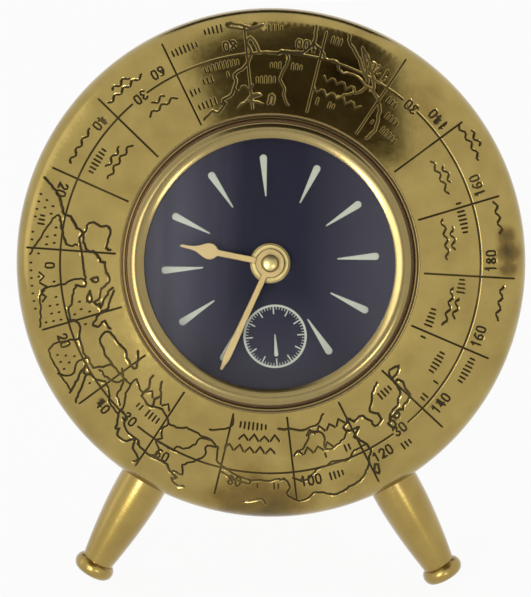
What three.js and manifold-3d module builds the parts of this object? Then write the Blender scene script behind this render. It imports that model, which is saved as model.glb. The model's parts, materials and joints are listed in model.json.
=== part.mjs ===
// A table clock: a spun brass dome with a glazed dial in its middle, on three turned legs.
// Millimetres, +Z up. Inside the clock group X points right, Y up the dial and Z out of the dial,
// and that group leans back over the table.

import * as THREE from 'three';
import { mergeVertices } from 'three/addons/utils/BufferGeometryUtils.js';
import Module from 'manifold-3d';

const wasm = await Module();
wasm.setup();

// Fits and stance
const FIT = 0.3; // gap between pieces that touch, or that turn in each other
const LEAN = 20; // degrees that the dial leans back
const LEG_SPREAD = 29.6; // degrees of a front leg from straight down, seen on the dial
const WALL_TAPER = 12; // degrees that the pan's wall draws in; front legs stand square to it

// Spun shells
const DOME_RADIUS = 76;
const CROWN_RADIUS = 140;
const KNUCKLE_RADIUS = 9; // rounding between the crown and the skirt
const SKIRT_DEPTH = 4;
const SHEET = 1.6;
const SEAT_WIDTH = 3.8; // flat turned strip round the dome's opening
const PAN_CORNER_RADIUS = 14;
const BACK_RADIUS = 152;

// Screws that hold the pan's flange to lugs inside the dome
const RIM_SCREWS = 4;
const RIM_SCREW_RADIUS = 1.25;
const RIM_HEAD_RADIUS = 2.4;
const RIM_HEAD_HEIGHT = 1.5;
const SCREW_HEAD_TOP = 0.6; // flat top of any screw's head, as a share of its radius
const LUG_WALL = 0.8;

// Legs, and what holds them
const LEG_LENGTH = 42.6; // front legs, from the pan's wall to the foot's flat
const LEG_TOP_RADIUS = 6.8;
const LEG_BELLY_PULL = 8.7; // radius of the barrel curve's control point, outside the barrel itself
const LEG_BELLY_PLACE = 0.4; // and its place, as a share of the barrel's length
const LEG_NECK_RADIUS = 4.7;
const FOOT_RADIUS = 6.2;
const FOOT_HEIGHT = 4.6;
const FOOT_FLAT_RADIUS = 4.4;
const STUD_RADIUS = 2.5;
const LEG_WASHER_RADIUS = 5.2;
const LEG_WASHER_THICKNESS = 1;
const LEG_NUT_FLATS = 8;
const LEG_NUT_THICKNESS = 4;
const REAR_LEG_INSET = 4.5; // from the pan's corner to the rear leg's axis, along the back

// Swing hatch over the pan's opening
const HATCH_SHEET = 1.2;
const HATCH_LAP = 10; // how far the hatch covers the pan round its opening
const HATCH_MARGIN = 3.2; // from the hatch to the rear leg
const PIVOT_RADIUS = 1.5;
const PIVOT_HEAD_RADIUS = 3.5;
const PIVOT_HEAD_HEIGHT = 1.8;
const PIVOT_NUT_FLATS = 5.5;
const PIVOT_NUT_THICKNESS = 2.4;
const HATCH_KNOB_RADIUS = 4;
const HATCH_KNOB_HEIGHT = 5;
const HATCH_KNOB_PLACE = 24; // from the hatch's middle
const HATCH_KNOB_TURNING = [ // its profile over the base, in shares of its radius and height
  [0.6, 0.35],
  [0.6, 0.5],
  [1, 0.75],
  [0.7, 1],
];
const HATCH_KNOB_BASE = 0.9; // its base, as a share of its radius

// Bezel, glass and dial
const DIAL_VIEW_RADIUS = 37.6; // what the bezel leaves of the dial
const BEZEL_SLOPE_WIDTH = 2.4;
const BEZEL_CREST_WIDTH = 1.2;
const BEZEL_HEIGHT = 7;
const BEZEL_LIP = 2.6; // height of the glass seat over the dome's flat strip
const BEZEL_LIP_EDGE = 0.8;
const BEZEL_FLANGE_LAP = 2; // how far the flange covers the dome round its opening
const BEZEL_FLANGE_THICKNESS = 1.1;
const BEZEL_STEP_WIDTH = 0.9; // the flange's rim, and the groove beside it
const BEZEL_GROOVE_DEPTH = 0.5;
const LENS_LAP = 2.5; // how far the glass reaches under the bezel
const LENS_THICKNESS = 2;
const NECK_WALL = 1.8;
const BEZEL_NUT_WIDTH = 3.4;
const BEZEL_NUT_THICKNESS = 4;
const GASKET_WIDTH = 2.2;
const GASKET_THICKNESS = 1.2;
const DIAL_SPACER_WIDTH = 1.9;
const DIAL_THICKNESS = 0.8;
const DIAL_PRINT = 0.15; // thickness of the printed marks
const DIAL_TURN = 3.4; // degrees that the dial is turned, anticlockwise
const RETAINER_WIDTH = 3;
const RETAINER_THICKNESS = 1.5;
const MOVEMENT_PAD_RADIUS = 14;

// Printed marks on the dial
const BATON_INNER = 19.4;
const BATON_OUTER = 31.5;
const BATON_WIDTH = 2.2;
const BATON_POINT = 0.4;
const SMALL_RING_PLACE = 22.7; // from the dial's middle towards six
const SMALL_RING_RADIUS = 9.4;
const SMALL_RING_WIDTH = 0.9;
const SMALL_TICK_LENGTH = 1.7;
const SMALL_TICK_WIDTH = 0.5;
const SIX_BATON_OUTER = 28.7;
const SIX_BATON_WIDTH = 1.3;

// Hands and what carries them
const HAND_THICKNESS = 0.6;
const HAND_GAP = 0.5; // between the two hands
const HUB_RADIUS = 4.3;
const MINUTE_HAND_LENGTH = 34.6;
const MINUTE_HAND_ROOT = 2.2;
const MINUTE_HAND_WIDTH = 3.3;
const MINUTE_HAND_SHOULDER = 30.5; // where it is widest
const MINUTE_HAND_TIP = 1;
const MINUTE_HAND_ANGLE = 204.1; // degrees clockwise from the top, as photographed
const HOUR_HAND_LENGTH = 27.2;
const HOUR_HAND_STEM = 2;
const HOUR_HAND_BULGE_RADIUS = 2.5;
const HOUR_HAND_BULGE_PLACE = 18.2;
const HOUR_HAND_SHOULDER = 35; // degrees round the bulge where the hollow taper leaves it
const HOUR_HAND_HOLLOW = 22.3; // control point of the taper's curve
const HOUR_HAND_TIP = 1;
const HOUR_HAND_ANGLE = 280.6;
const CAP_RADIUS = 2.6;
const CAP_HEIGHT = 1.9;
const CAP_RIM = 0.3; // straight part of the cap, as a share of its height
const CAP_CLEARANCE = 1.2; // from the cap to the glass
const DIAL_WASHER_RADIUS = 6;
const DIAL_WASHER_THICKNESS = 0.6;
const DIAL_NUT_RADIUS = 5.6;
const DIAL_NUT_SLOT_WIDTH = 1; // two slots for a spanner
const DIAL_NUT_SLOT_DEPTH = 0.6;
const DIAL_NUT_THICKNESS = 1.6;
const ARBOR_RADIUS = 1.5; // the minute hand's arbor
const PIPE_WALL = 0.7;
const BUSHING_WALL = 1.3;
const BUSHING_FLANGE_RADIUS = 6;
const BUSHING_FLANGE_THICKNESS = 1;

// Wheels
const WHEEL_THICKNESS = 1;
const WHEEL_GAP = 0.6; // between one layer of wheels and the next
const LEAF_OVERHANG = 0.2; // how far a pinion stands past its wheel at each side
const THIN_ARBOR_RADIUS = 0.6;
const TOOTH_ADDENDUM = 0.8; // in modules, as are the three below
const TOOTH_DEDENDUM = 1.1;
const TOOTH_TIP = 0.3;
const TOOTH_ROOT = 0.75;
const MOTION_MODULE = 0.55;
const CANNON_LEAVES = 10;
const MINUTE_TEETH = 30;
const MINUTE_LEAVES = 8;
const HOUR_TEETH = 32;
const CENTRE_TEETH = 45;
const THIRD_LEAVES = 6;
const THIRD_TEETH = 48;
const ROTOR_LEAVES = 6;
const ROTOR_MODULE = 0.35;
const KNOB_DIRECTION = 150; // degrees from the centre arbor to the setting knob
const THIRD_DIRECTION = 40; // degrees from the centre arbor to the third wheel
const ROTOR_DIRECTION = 60; // degrees from the third wheel to the rotor

// Motor, battery and case of the movement
const MAGNET_RADIUS = 3.2;
const MAGNET_HEIGHT = 2.2;
const STATOR_AIR_GAP = 0.6;
const STATOR_RIM = 2;
const STATOR_TAB = 5;
const STATOR_THICKNESS = 1;
const COIL_RADIUS = 3.3;
const COIL_FLANGE_RADIUS = 3.7;
const COIL_LENGTH = 21;
const COIL_FLANGE_THICKNESS = 1;
const CORE_WIDTH = 3;
const CORE_THICKNESS = 1;
const BOARD_THICKNESS = 1;
const CAN_RADIUS = 1;
const CAN_LENGTH = 6;
const BATTERY_RADIUS = 7.25;
const BATTERY_LENGTH = 50.5;
const BATTERY_NUB_RADIUS = 2.75;
const BATTERY_NUB_LENGTH = 1.5;
const CONTACT_THICKNESS = 0.5;
const CONTACT_TAIL = 30; // how far the strips run up from the battery's middle, past the board's edge
const CASE_WALL = 1.5;
const CASE_FLOOR = 1.5;
const CASE_PARTITION = 1;
const CASE_CORNER_RADIUS = 5;
const COVER_THICKNESS = 1.5;
const SETTING_KNOB_RADIUS = 6;
const SETTING_KNOB_HEIGHT = 3.5;

// How finely round pieces are divided
const SHELL_SIDES = 48;
const RING_SIDES = 32;
const LEG_SIDES = 20;
const SMALL_SIDES = 12;

const radians = THREE.MathUtils.degToRad;
const degrees = THREE.MathUtils.radToDeg;
const AXIS = new THREE.Vector3(0, 0, 1);

// Finishes: colour, roughness, metalness
const FINISHES = {
  polishedBrass: [0xa68c4a, 0.28, 1],
  engravedBrass: [0x9c8548, 0.34, 1],
  turnedBrass: [0xb39b55, 0.3, 1],
  gildedHand: [0xd9b277, 0.35, 1],
  navyDial: [0x2a283c, 0.45, 0],
  clearGlass: [0xdfe6e4, 0.04, 0],
  blackRubber: [0x1b1b1c, 0.8, 0],
  blackPlastic: [0x222326, 0.55, 0],
  whitePlastic: [0xe4e2da, 0.5, 0],
  steel: [0x9b9d9f, 0.35, 1],
  copperWire: [0xa4562c, 0.4, 1],
  boardGreen: [0x2d5a3c, 0.6, 0],
  cellJacket: [0x3d4247, 0.4, 0.2],
};

const clock = new THREE.Group();

function add(parent, name, geometry, finish) {
  const [color, roughness, metalness] = FINISHES[finish];
  const mesh = new THREE.Mesh(geometry, new THREE.MeshStandardMaterial({ color, roughness, metalness }));
  mesh.name = name;
  parent.add(mesh);
  return mesh;
}

// A group whose Z axis points along a direction of its parent
function groupAlong(parent, position, direction) {
  const group = new THREE.Group();
  group.position.copy(position);
  group.quaternion.setFromUnitVectors(AXIS, direction);
  group.updateMatrix();
  parent.add(group);
  return group;
}

function groupAt(parent, x, y, z) {
  return groupAlong(parent, new THREE.Vector3(x, y, z), AXIS);
}

// Profiles are lists of [radius, height]; the outer side of a ring runs upwards
function arc(centreRadius, centreHeight, radius, from, to, steps) {
  const points = [];
  for (let step = 0; step <= steps; step += 1) {
    const angle = radians(from + ((to - from) * step) / steps);
    points.push([centreRadius + radius * Math.cos(angle), centreHeight + radius * Math.sin(angle)]);
  }
  return points;
}

function turned(profile, sides) {
  const points = profile.map(([radius, height]) => new THREE.Vector2(radius, height));
  return new THREE.LatheGeometry(points, sides).rotateX(Math.PI / 2);
}

function disc(radius, low, high, sides = SMALL_SIDES) {
  return turned([[0, low], [radius, low], [radius, high], [0, high]], sides);
}

function ring(inner, outer, low, high, sides = RING_SIDES) {
  return turned([[inner, low], [outer, low], [outer, high], [inner, high], [inner, low]], sides);
}

function plate(shape, low, high) {
  const settings = { depth: high - low, bevelEnabled: false, curveSegments: SMALL_SIDES };
  return new THREE.ExtrudeGeometry(shape, settings).translate(0, 0, low);
}

function polygon(corners) {
  return new THREE.Shape(corners.map(([x, y]) => new THREE.Vector2(x, y)));
}

function rectangle(left, bottom, right, top) {
  return polygon([[left, bottom], [right, bottom], [right, top], [left, top]]);
}

function roundHole(shape, x, y, radius) {
  const corners = [];
  for (let side = 0; side < SMALL_SIDES; side += 1) {
    const angle = (2 * Math.PI * side) / SMALL_SIDES;
    corners.push(new THREE.Vector2(x + radius * Math.cos(angle), y + radius * Math.sin(angle)));
  }
  shape.holes.push(new THREE.Path(corners));
  return shape;
}

function hexagon(flats) {
  const corners = [];
  for (let side = 0; side < 6; side += 1) {
    const angle = (Math.PI * side) / 3;
    const radius = flats / 2 / Math.cos(Math.PI / 6);
    corners.push([radius * Math.cos(angle), radius * Math.sin(angle)]);
  }
  return polygon(corners);
}

function nut(flats, hole, low, high) {
  return plate(roundHole(hexagon(flats), 0, 0, hole), low, high);
}

// Joins and cuts
function solid(geometry) {
  const bare = geometry.clone();
  bare.deleteAttribute('normal');
  bare.deleteAttribute('uv');
  const merged = mergeVertices(bare, 1e-4);
  const vertProperties = new Float32Array(merged.attributes.position.array);
  const triVerts = new Uint32Array(merged.index.array);
  return new wasm.Manifold(new wasm.Mesh({ numProp: 3, vertProperties, triVerts }));
}

function shell(manifold) {
  const { vertProperties, triVerts } = manifold.getMesh();
  const geometry = new THREE.BufferGeometry();
  geometry.setAttribute('position', new THREE.BufferAttribute(vertProperties, 3));
  geometry.setIndex(new THREE.BufferAttribute(triVerts, 1));
  return geometry;
}

function joined(...geometries) {
  return shell(geometries.map(solid).reduce((whole, piece) => whole.add(piece)));
}

function cut(geometry, tools) {
  return shell(tools.map(solid).reduce((whole, tool) => whole.subtract(tool), solid(geometry)));
}

// The barrel of a leg, from its seat to its neck
function legBarrel(neck) {
  return new THREE.QuadraticBezierCurve(
    new THREE.Vector2(LEG_TOP_RADIUS, FIT),
    new THREE.Vector2(LEG_BELLY_PULL, neck * LEG_BELLY_PLACE),
    new THREE.Vector2(LEG_NECK_RADIUS, neck),
  );
}

// Shapes of the shells that several pieces share
const knuckleCentre = DOME_RADIUS - KNUCKLE_RADIUS;
const crownCentre = -Math.sqrt((CROWN_RADIUS - KNUCKLE_RADIUS) ** 2 - knuckleCentre ** 2);
const crownEdge = degrees(Math.acos(knuckleCentre / (CROWN_RADIUS - KNUCKLE_RADIUS)));
const lensRadius = DIAL_VIEW_RADIUS + LENS_LAP;
const boreRadius = lensRadius + FIT;
const neckRadius = boreRadius + NECK_WALL;
const openingRadius = neckRadius + FIT;
const seatRadius = openingRadius + SEAT_WIDTH;
const seatHeight = crownCentre + Math.sqrt(CROWN_RADIUS ** 2 - seatRadius ** 2);

const taper = radians(WALL_TAPER);
const flangeRadius = DOME_RADIUS - SHEET - FIT;
const flangeBack = -FIT - SHEET;
const screwCircle = flangeRadius - RIM_HEAD_RADIUS - FIT;
const wallStart = screwCircle - RIM_HEAD_RADIUS - FIT; // the pan's wall where it leaves the flange
const legBelly = Math.max(...legBarrel(1).getPoints(SHELL_SIDES).map((point) => point.x));
const skirtReach = (DOME_RADIUS - wallStart) * Math.tan(taper) + flangeBack * Math.tan(taper) ** 2;
const legPlace = // along the axis, where the leg just clears the skirt's edge
  (skirtReach - SKIRT_DEPTH - FIT - legBelly / Math.cos(taper)) * Math.cos(taper) ** 2;
const legWallRadius = wallStart + (legPlace - flangeBack) * Math.tan(taper);
const cornerHeight = legPlace - LEG_TOP_RADIUS + PAN_CORNER_RADIUS * Math.sin(taper);
const cornerCentre =
  wallStart + (cornerHeight - flangeBack) * Math.tan(taper) - PAN_CORNER_RADIUS / Math.cos(taper);
const backReach = BACK_RADIUS - PAN_CORNER_RADIUS;
const backCentre = cornerHeight + Math.sqrt(backReach ** 2 - cornerCentre ** 2);
const backEdge = Math.asin(cornerCentre / backReach);

// A point of the pan's back, and the way it faces, at an angle from the axis towards the bottom
function backPoint(angle, lift = 0) {
  const radius = BACK_RADIUS + lift;
  return new THREE.Vector3(0, -radius * Math.sin(angle), backCentre - radius * Math.cos(angle));
}

function backNormal(angle) {
  return new THREE.Vector3(0, -Math.sin(angle), -Math.cos(angle));
}

const rearLegAngle = backEdge - REAR_LEG_INSET / BACK_RADIUS;
const hatchRadius = BACK_RADIUS * Math.sin(rearLegAngle) - LEG_TOP_RADIUS - HATCH_MARGIN;
const hatchAngle = Math.asin(hatchRadius / BACK_RADIUS);
const hatchOpeningAngle = Math.asin((hatchRadius - HATCH_LAP) / BACK_RADIUS);
const pivotAngle = -(hatchAngle + hatchOpeningAngle) / 2; // above the middle

// Places for the legs, seated on the pan
function frontLegGroup(side) {
  const across = side * Math.sin(radians(LEG_SPREAD));
  const down = -Math.cos(radians(LEG_SPREAD));
  const direction = new THREE.Vector3(across, down, 0).multiplyScalar(Math.cos(taper));
  direction.z = -Math.sin(taper);
  const seat = new THREE.Vector3(across * legWallRadius, down * legWallRadius, legPlace);
  return groupAlong(clock, seat, direction);
}

const legGroups = {
  front_left: frontLegGroup(-1),
  front_right: frontLegGroup(1),
  rear: groupAlong(clock, backPoint(rearLegAngle), backNormal(rearLegAngle)),
};
const pivotGroup = groupAlong(clock, backPoint(pivotAngle), backNormal(pivotAngle));

function screwPlace(index) {
  const angle = (2 * Math.PI * (index + 0.5)) / RIM_SCREWS;
  return [screwCircle * Math.cos(angle), screwCircle * Math.sin(angle)];
}

// Front dome
function domeProfile() {
  const innerSeatHeight = seatHeight - SHEET;
  const innerCrown = CROWN_RADIUS - SHEET;
  const outerSeat = degrees(Math.acos(seatRadius / CROWN_RADIUS));
  const innerSeat = degrees(Math.asin((innerSeatHeight - crownCentre) / innerCrown));
  return [
    [DOME_RADIUS, -SKIRT_DEPTH],
    ...arc(knuckleCentre, 0, KNUCKLE_RADIUS, 0, crownEdge, 4),
    ...arc(0, crownCentre, CROWN_RADIUS, crownEdge, outerSeat, 5).slice(1),
    [openingRadius, seatHeight],
    [openingRadius, innerSeatHeight],
    ...arc(0, crownCentre, innerCrown, innerSeat, crownEdge, 4),
    ...arc(knuckleCentre, 0, KNUCKLE_RADIUS - SHEET, crownEdge, 0, 3).slice(1),
    [DOME_RADIUS - SHEET, -SKIRT_DEPTH],
    [DOME_RADIUS, -SKIRT_DEPTH],
  ];
}

function buildDome() {
  add(clock, 'dome_shell', turned(domeProfile(), SHELL_SIDES), 'engravedBrass');
  const hole = RIM_SCREW_RADIUS + FIT;
  const lugRadius = hole + LUG_WALL;
  const room = KNUCKLE_RADIUS - SHEET - FIT;
  const lugHeight = Math.sqrt(room ** 2 - (screwCircle + lugRadius - knuckleCentre) ** 2);
  const headBase = flangeBack - FIT;
  for (let index = 0; index < RIM_SCREWS; index += 1) {
    const place = groupAt(clock, ...screwPlace(index), 0);
    add(place, `dome_lug_${index + 1}`, ring(hole, lugRadius, 0, lugHeight, SMALL_SIDES), 'polishedBrass');
    const screw = [
      [0, headBase - RIM_HEAD_HEIGHT],
      [RIM_HEAD_RADIUS * SCREW_HEAD_TOP, headBase - RIM_HEAD_HEIGHT],
      [RIM_HEAD_RADIUS, headBase - RIM_HEAD_HEIGHT / 2],
      [RIM_HEAD_RADIUS, headBase],
      [RIM_SCREW_RADIUS, headBase],
      [RIM_SCREW_RADIUS, lugHeight],
      [0, lugHeight],
    ];
    add(place, `rim_screw_${index + 1}`, turned(screw, SMALL_SIDES), 'steel');
  }
}

// Rear pan, with the holes for studs, screws and the hatch's pivot
function panProfile() {
  const cornerFrom = -90 + degrees(backEdge);
  const openingFrom = -90 + degrees(hatchOpeningAngle);
  const innerWall = wallStart - SHEET / Math.cos(taper) + (-FIT - flangeBack) * Math.tan(taper);
  return [
    ...arc(0, backCentre, BACK_RADIUS, openingFrom, cornerFrom, 3),
    ...arc(cornerCentre, cornerHeight, PAN_CORNER_RADIUS, cornerFrom, -WALL_TAPER, 4).slice(1),
    [wallStart, flangeBack],
    [flangeRadius, flangeBack],
    [flangeRadius, -FIT],
    [innerWall, -FIT],
    ...arc(cornerCentre, cornerHeight, PAN_CORNER_RADIUS - SHEET, -WALL_TAPER, cornerFrom, 3),
    ...arc(0, backCentre, BACK_RADIUS - SHEET, cornerFrom, openingFrom, 3).slice(1),
    [BACK_RADIUS * Math.sin(hatchOpeningAngle), backCentre - BACK_RADIUS * Math.cos(hatchOpeningAngle)],
  ];
}

function buildPan() {
  const drill = 3 * SHEET;
  const tools = [];
  for (const group of Object.values(legGroups)) {
    tools.push(disc(STUD_RADIUS + FIT, -drill, drill).applyMatrix4(group.matrix));
  }
  tools.push(disc(PIVOT_RADIUS + FIT, -drill, drill).applyMatrix4(pivotGroup.matrix));
  for (let index = 0; index < RIM_SCREWS; index += 1) {
    tools.push(disc(RIM_SCREW_RADIUS + FIT, -drill, drill).translate(...screwPlace(index), 0));
  }
  add(clock, 'rear_pan', cut(turned(panProfile(), SHELL_SIDES), tools), 'polishedBrass');
}

// Legs: stud, barrel, neck and rounded foot, along +Z from the seat
const studLength = SHEET + LEG_WASHER_THICKNESS + LEG_NUT_THICKNESS + 4 * FIT;

function footProfile(length) {
  const low = length - FOOT_HEIGHT;
  const half = FOOT_HEIGHT / 2;
  const bulge = FOOT_RADIUS - FOOT_FLAT_RADIUS;
  const points = [];
  for (let step = 0; step <= 6; step += 1) {
    const angle = radians(-90 + 30 * step);
    points.push([FOOT_FLAT_RADIUS + bulge * Math.cos(angle), low + half + half * Math.sin(angle)]);
  }
  return points;
}

function legProfile(length) {
  const neck = length - FOOT_HEIGHT;
  return [
    [0, -studLength],
    [STUD_RADIUS, -studLength],
    [STUD_RADIUS, FIT],
    ...legBarrel(neck).getPoints(6).map((point) => [point.x, point.y]),
    ...footProfile(length).filter(([radius, height]) => height > neck + FIT),
    [0, length],
  ];
}

const lean = new THREE.Quaternion().setFromAxisAngle(new THREE.Vector3(1, 0, 0), Math.PI / 2 - radians(LEAN));

// How far a leg's seat stands over the table, for a leg of some length, and the other way round
function footDrop(group, length) {
  const direction = AXIS.clone().applyQuaternion(group.quaternion).applyQuaternion(lean);
  const down = -direction.z;
  const aside = Math.sqrt(1 - down ** 2);
  const edge = footProfile(0).map(([radius, height]) => radius * aside + height * down);
  return length * down + Math.max(...edge);
}

function seatHeightOver(group) {
  return group.position.clone().applyQuaternion(lean).z;
}

const tableHeight = seatHeightOver(legGroups.front_left) - footDrop(legGroups.front_left, LEG_LENGTH);
const rearSeat = seatHeightOver(legGroups.rear) - tableHeight;
const rearFoot = footDrop(legGroups.rear, 0);
const rearLegLength = (rearSeat - rearFoot) / (footDrop(legGroups.rear, 1) - rearFoot);

function buildLegs() {
  const washerTop = -SHEET - 2 * FIT;
  const washerBase = washerTop - LEG_WASHER_THICKNESS;
  const nutTop = washerBase - FIT;
  for (const [place, group] of Object.entries(legGroups)) {
    const length = place === 'rear' ? rearLegLength : LEG_LENGTH;
    const name = place === 'rear' ? 'rear_leg' : place.replace('_', '_leg_');
    const hole = STUD_RADIUS + FIT;
    add(group, name, turned(legProfile(length), LEG_SIDES), 'turnedBrass');
    const washer = ring(hole, LEG_WASHER_RADIUS, washerBase, washerTop, SMALL_SIDES);
    add(group, `leg_washer_${place}`, washer, 'steel');
    add(group, `leg_nut_${place}`, nut(LEG_NUT_FLATS, hole, nutTop - LEG_NUT_THICKNESS, nutTop), 'steel');
  }
}

// Hatch that swings on one screw, over the pan's opening
function buildHatch() {
  const inner = BACK_RADIUS + FIT;
  const outer = inner + HATCH_SHEET;
  const edge = -90 + degrees(hatchAngle);
  const cover = turned(
    [
      ...arc(0, backCentre, outer, -90, edge, 4),
      ...arc(0, backCentre, inner, edge, -90, 4),
    ].map(([radius, height]) => [Math.max(radius, 0), height]),
    RING_SIDES,
  );
  const hole = disc(PIVOT_RADIUS + FIT, -SHEET, 3 * SHEET).applyMatrix4(pivotGroup.matrix);
  add(clock, 'hatch_cover', cut(cover, [hole]), 'polishedBrass');

  const headBase = 2 * FIT + HATCH_SHEET;
  const nutTop = -SHEET - FIT;
  const nutBase = nutTop - PIVOT_NUT_THICKNESS;
  const screw = [
    [0, nutBase - FIT],
    [PIVOT_RADIUS, nutBase - FIT],
    [PIVOT_RADIUS, headBase],
    [PIVOT_HEAD_RADIUS, headBase],
    [PIVOT_HEAD_RADIUS, headBase + PIVOT_HEAD_HEIGHT / 2],
    [PIVOT_HEAD_RADIUS * SCREW_HEAD_TOP, headBase + PIVOT_HEAD_HEIGHT],
    [0, headBase + PIVOT_HEAD_HEIGHT],
  ];
  add(pivotGroup, 'hatch_pivot_screw', turned(screw, SMALL_SIDES), 'steel');
  add(pivotGroup, 'hatch_pivot_nut', nut(PIVOT_NUT_FLATS, PIVOT_RADIUS + FIT, nutBase, nutTop), 'steel');

  const knobAngle = Math.asin(HATCH_KNOB_PLACE / outer);
  const knobGroup = groupAlong(clock, backPoint(knobAngle, outer - BACK_RADIUS), backNormal(knobAngle));
  const knob = [
    [0, FIT],
    [HATCH_KNOB_RADIUS * HATCH_KNOB_BASE, FIT],
    ...HATCH_KNOB_TURNING.map(([across, up]) => [HATCH_KNOB_RADIUS * across, HATCH_KNOB_HEIGHT * up]),
    [0, HATCH_KNOB_HEIGHT],
  ];
  add(knobGroup, 'hatch_knob', turned(knob, SMALL_SIDES), 'turnedBrass');
}

// Heights of the dial's stack over the dome's flat strip, from the glass down
const lensTop = BEZEL_LIP - FIT;
const lensBase = lensTop - LENS_THICKNESS;
const gasketTop = lensBase - FIT;
const gasketBase = gasketTop - GASKET_THICKNESS;
const capTop = lensBase - CAP_CLEARANCE;
const capBase = capTop - CAP_HEIGHT;
const minuteHandTop = capBase - FIT;
const minuteHandBase = minuteHandTop - HAND_THICKNESS;
const hourHandTop = minuteHandBase - HAND_GAP;
const hourHandBase = hourHandTop - HAND_THICKNESS;
const dialNutTop = hourHandBase - FIT;
const dialNutBase = dialNutTop - DIAL_NUT_THICKNESS;
const dialWasherTop = dialNutBase - FIT;
const dialWasherBase = dialWasherTop - DIAL_WASHER_THICKNESS;
const dialTop = dialWasherBase - FIT;
const dialBase = dialTop - DIAL_THICKNESS;
const retainerTop = dialBase - FIT;
const retainerBase = retainerTop - RETAINER_THICKNESS;
const caseFront = retainerBase - FIT;

const insert = groupAt(clock, 0, 0, seatHeight);

function bezelProfile() {
  const flange = openingRadius + BEZEL_FLANGE_LAP;
  const flangeTop = FIT + BEZEL_FLANGE_THICKNESS;
  const grooveBase = flangeTop - BEZEL_GROOVE_DEPTH;
  const rollEdge = flange - 2 * BEZEL_STEP_WIDTH;
  const crestInner = DIAL_VIEW_RADIUS + BEZEL_SLOPE_WIDTH;
  const crestOuter = crestInner + BEZEL_CREST_WIDTH / 2;
  const roll = arc(0, 0, 1, 0, 90, 5).map(([across, up]) => [
    crestOuter + (rollEdge - crestOuter) * across,
    flangeTop + (BEZEL_HEIGHT - flangeTop) * up,
  ]);
  return [
    [boreRadius, retainerBase],
    [neckRadius, retainerBase],
    [neckRadius, FIT],
    [flange, FIT],
    [flange, flangeTop],
    [flange - BEZEL_STEP_WIDTH, flangeTop],
    [flange - BEZEL_STEP_WIDTH, grooveBase],
    [rollEdge, grooveBase],
    ...roll,
    [crestInner, BEZEL_HEIGHT - BEZEL_GROOVE_DEPTH / 2],
    [DIAL_VIEW_RADIUS, BEZEL_LIP + BEZEL_LIP_EDGE],
    [DIAL_VIEW_RADIUS, BEZEL_LIP],
    [boreRadius, BEZEL_LIP],
    [boreRadius, retainerBase],
  ];
}

function buildBezelStack() {
  add(insert, 'bezel', turned(bezelProfile(), SHELL_SIDES), 'turnedBrass');
  const nutTop = -SHEET - FIT;
  const nutOuter = openingRadius + BEZEL_NUT_WIDTH;
  const bezelNut = ring(openingRadius, nutOuter, nutTop - BEZEL_NUT_THICKNESS, nutTop);
  add(insert, 'bezel_nut', bezelNut, 'polishedBrass');
  add(insert, 'lens', disc(lensRadius, lensBase, lensTop, RING_SIDES), 'clearGlass');
  add(insert, 'lens_gasket', ring(lensRadius - GASKET_WIDTH, lensRadius, gasketBase, gasketTop), 'blackRubber');
  const spacer = ring(lensRadius - DIAL_SPACER_WIDTH, lensRadius, dialTop + FIT, gasketBase - FIT);
  add(insert, 'dial_spacer', spacer, 'turnedBrass');
  const retainer = ring(lensRadius - RETAINER_WIDTH, lensRadius, retainerBase, retainerTop);
  add(insert, 'dial_retainer', retainer, 'polishedBrass');
}

// Dial, with its marks standing up by the thickness of the print
function baton(inner, outer, innerWidth, outerWidth) {
  const half = outerWidth / 2;
  const shape = new THREE.Shape();
  shape.moveTo(-innerWidth / 2, inner);
  shape.lineTo(innerWidth / 2, inner);
  shape.lineTo(half, outer - half);
  shape.lineTo(half / 2, outer);
  shape.lineTo(-half / 2, outer);
  shape.lineTo(-half, outer - half);
  return shape;
}

const pipeRadius = ARBOR_RADIUS + FIT + PIPE_WALL;
const bushingRadius = pipeRadius + FIT + BUSHING_WALL;
const bushingHole = bushingRadius + FIT;

function buildDial() {
  const low = dialTop - DIAL_PRINT;
  const high = dialTop + DIAL_PRINT;
  const marks = [];
  for (let hour = 0; hour < 12; hour += 1) {
    if (hour !== 6) {
      const mark = plate(baton(BATON_INNER, BATON_OUTER, BATON_POINT, BATON_WIDTH), low, high);
      marks.push(mark.rotateZ(-radians(30 * hour)));
    }
  }
  const ringInner = SMALL_RING_RADIUS - SMALL_RING_WIDTH;
  const smallMarks = [ring(ringInner, SMALL_RING_RADIUS, low, high, RING_SIDES)];
  for (let tick = 0; tick < 12; tick += 1) {
    const half = SMALL_TICK_WIDTH / 2;
    const tickShape = rectangle(-half, ringInner - SMALL_TICK_LENGTH, half, ringInner + half);
    smallMarks.push(plate(tickShape, low, high).rotateZ(radians(30 * tick)));
  }
  const sixOuter = SIX_BATON_OUTER - SMALL_RING_PLACE;
  const smallHand = plate(baton(0, sixOuter, BATON_POINT, SIX_BATON_WIDTH), low, high).rotateZ(Math.PI);
  marks.push(...[...smallMarks, smallHand].map((mark) => mark.translate(0, -SMALL_RING_PLACE, 0)));

  const blank = ring(bushingHole, lensRadius, dialBase, dialTop, RING_SIDES);
  const dial = add(insert, 'dial_plate', joined(blank, ...marks), 'navyDial');
  dial.rotation.z = radians(DIAL_TURN);
}

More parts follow.
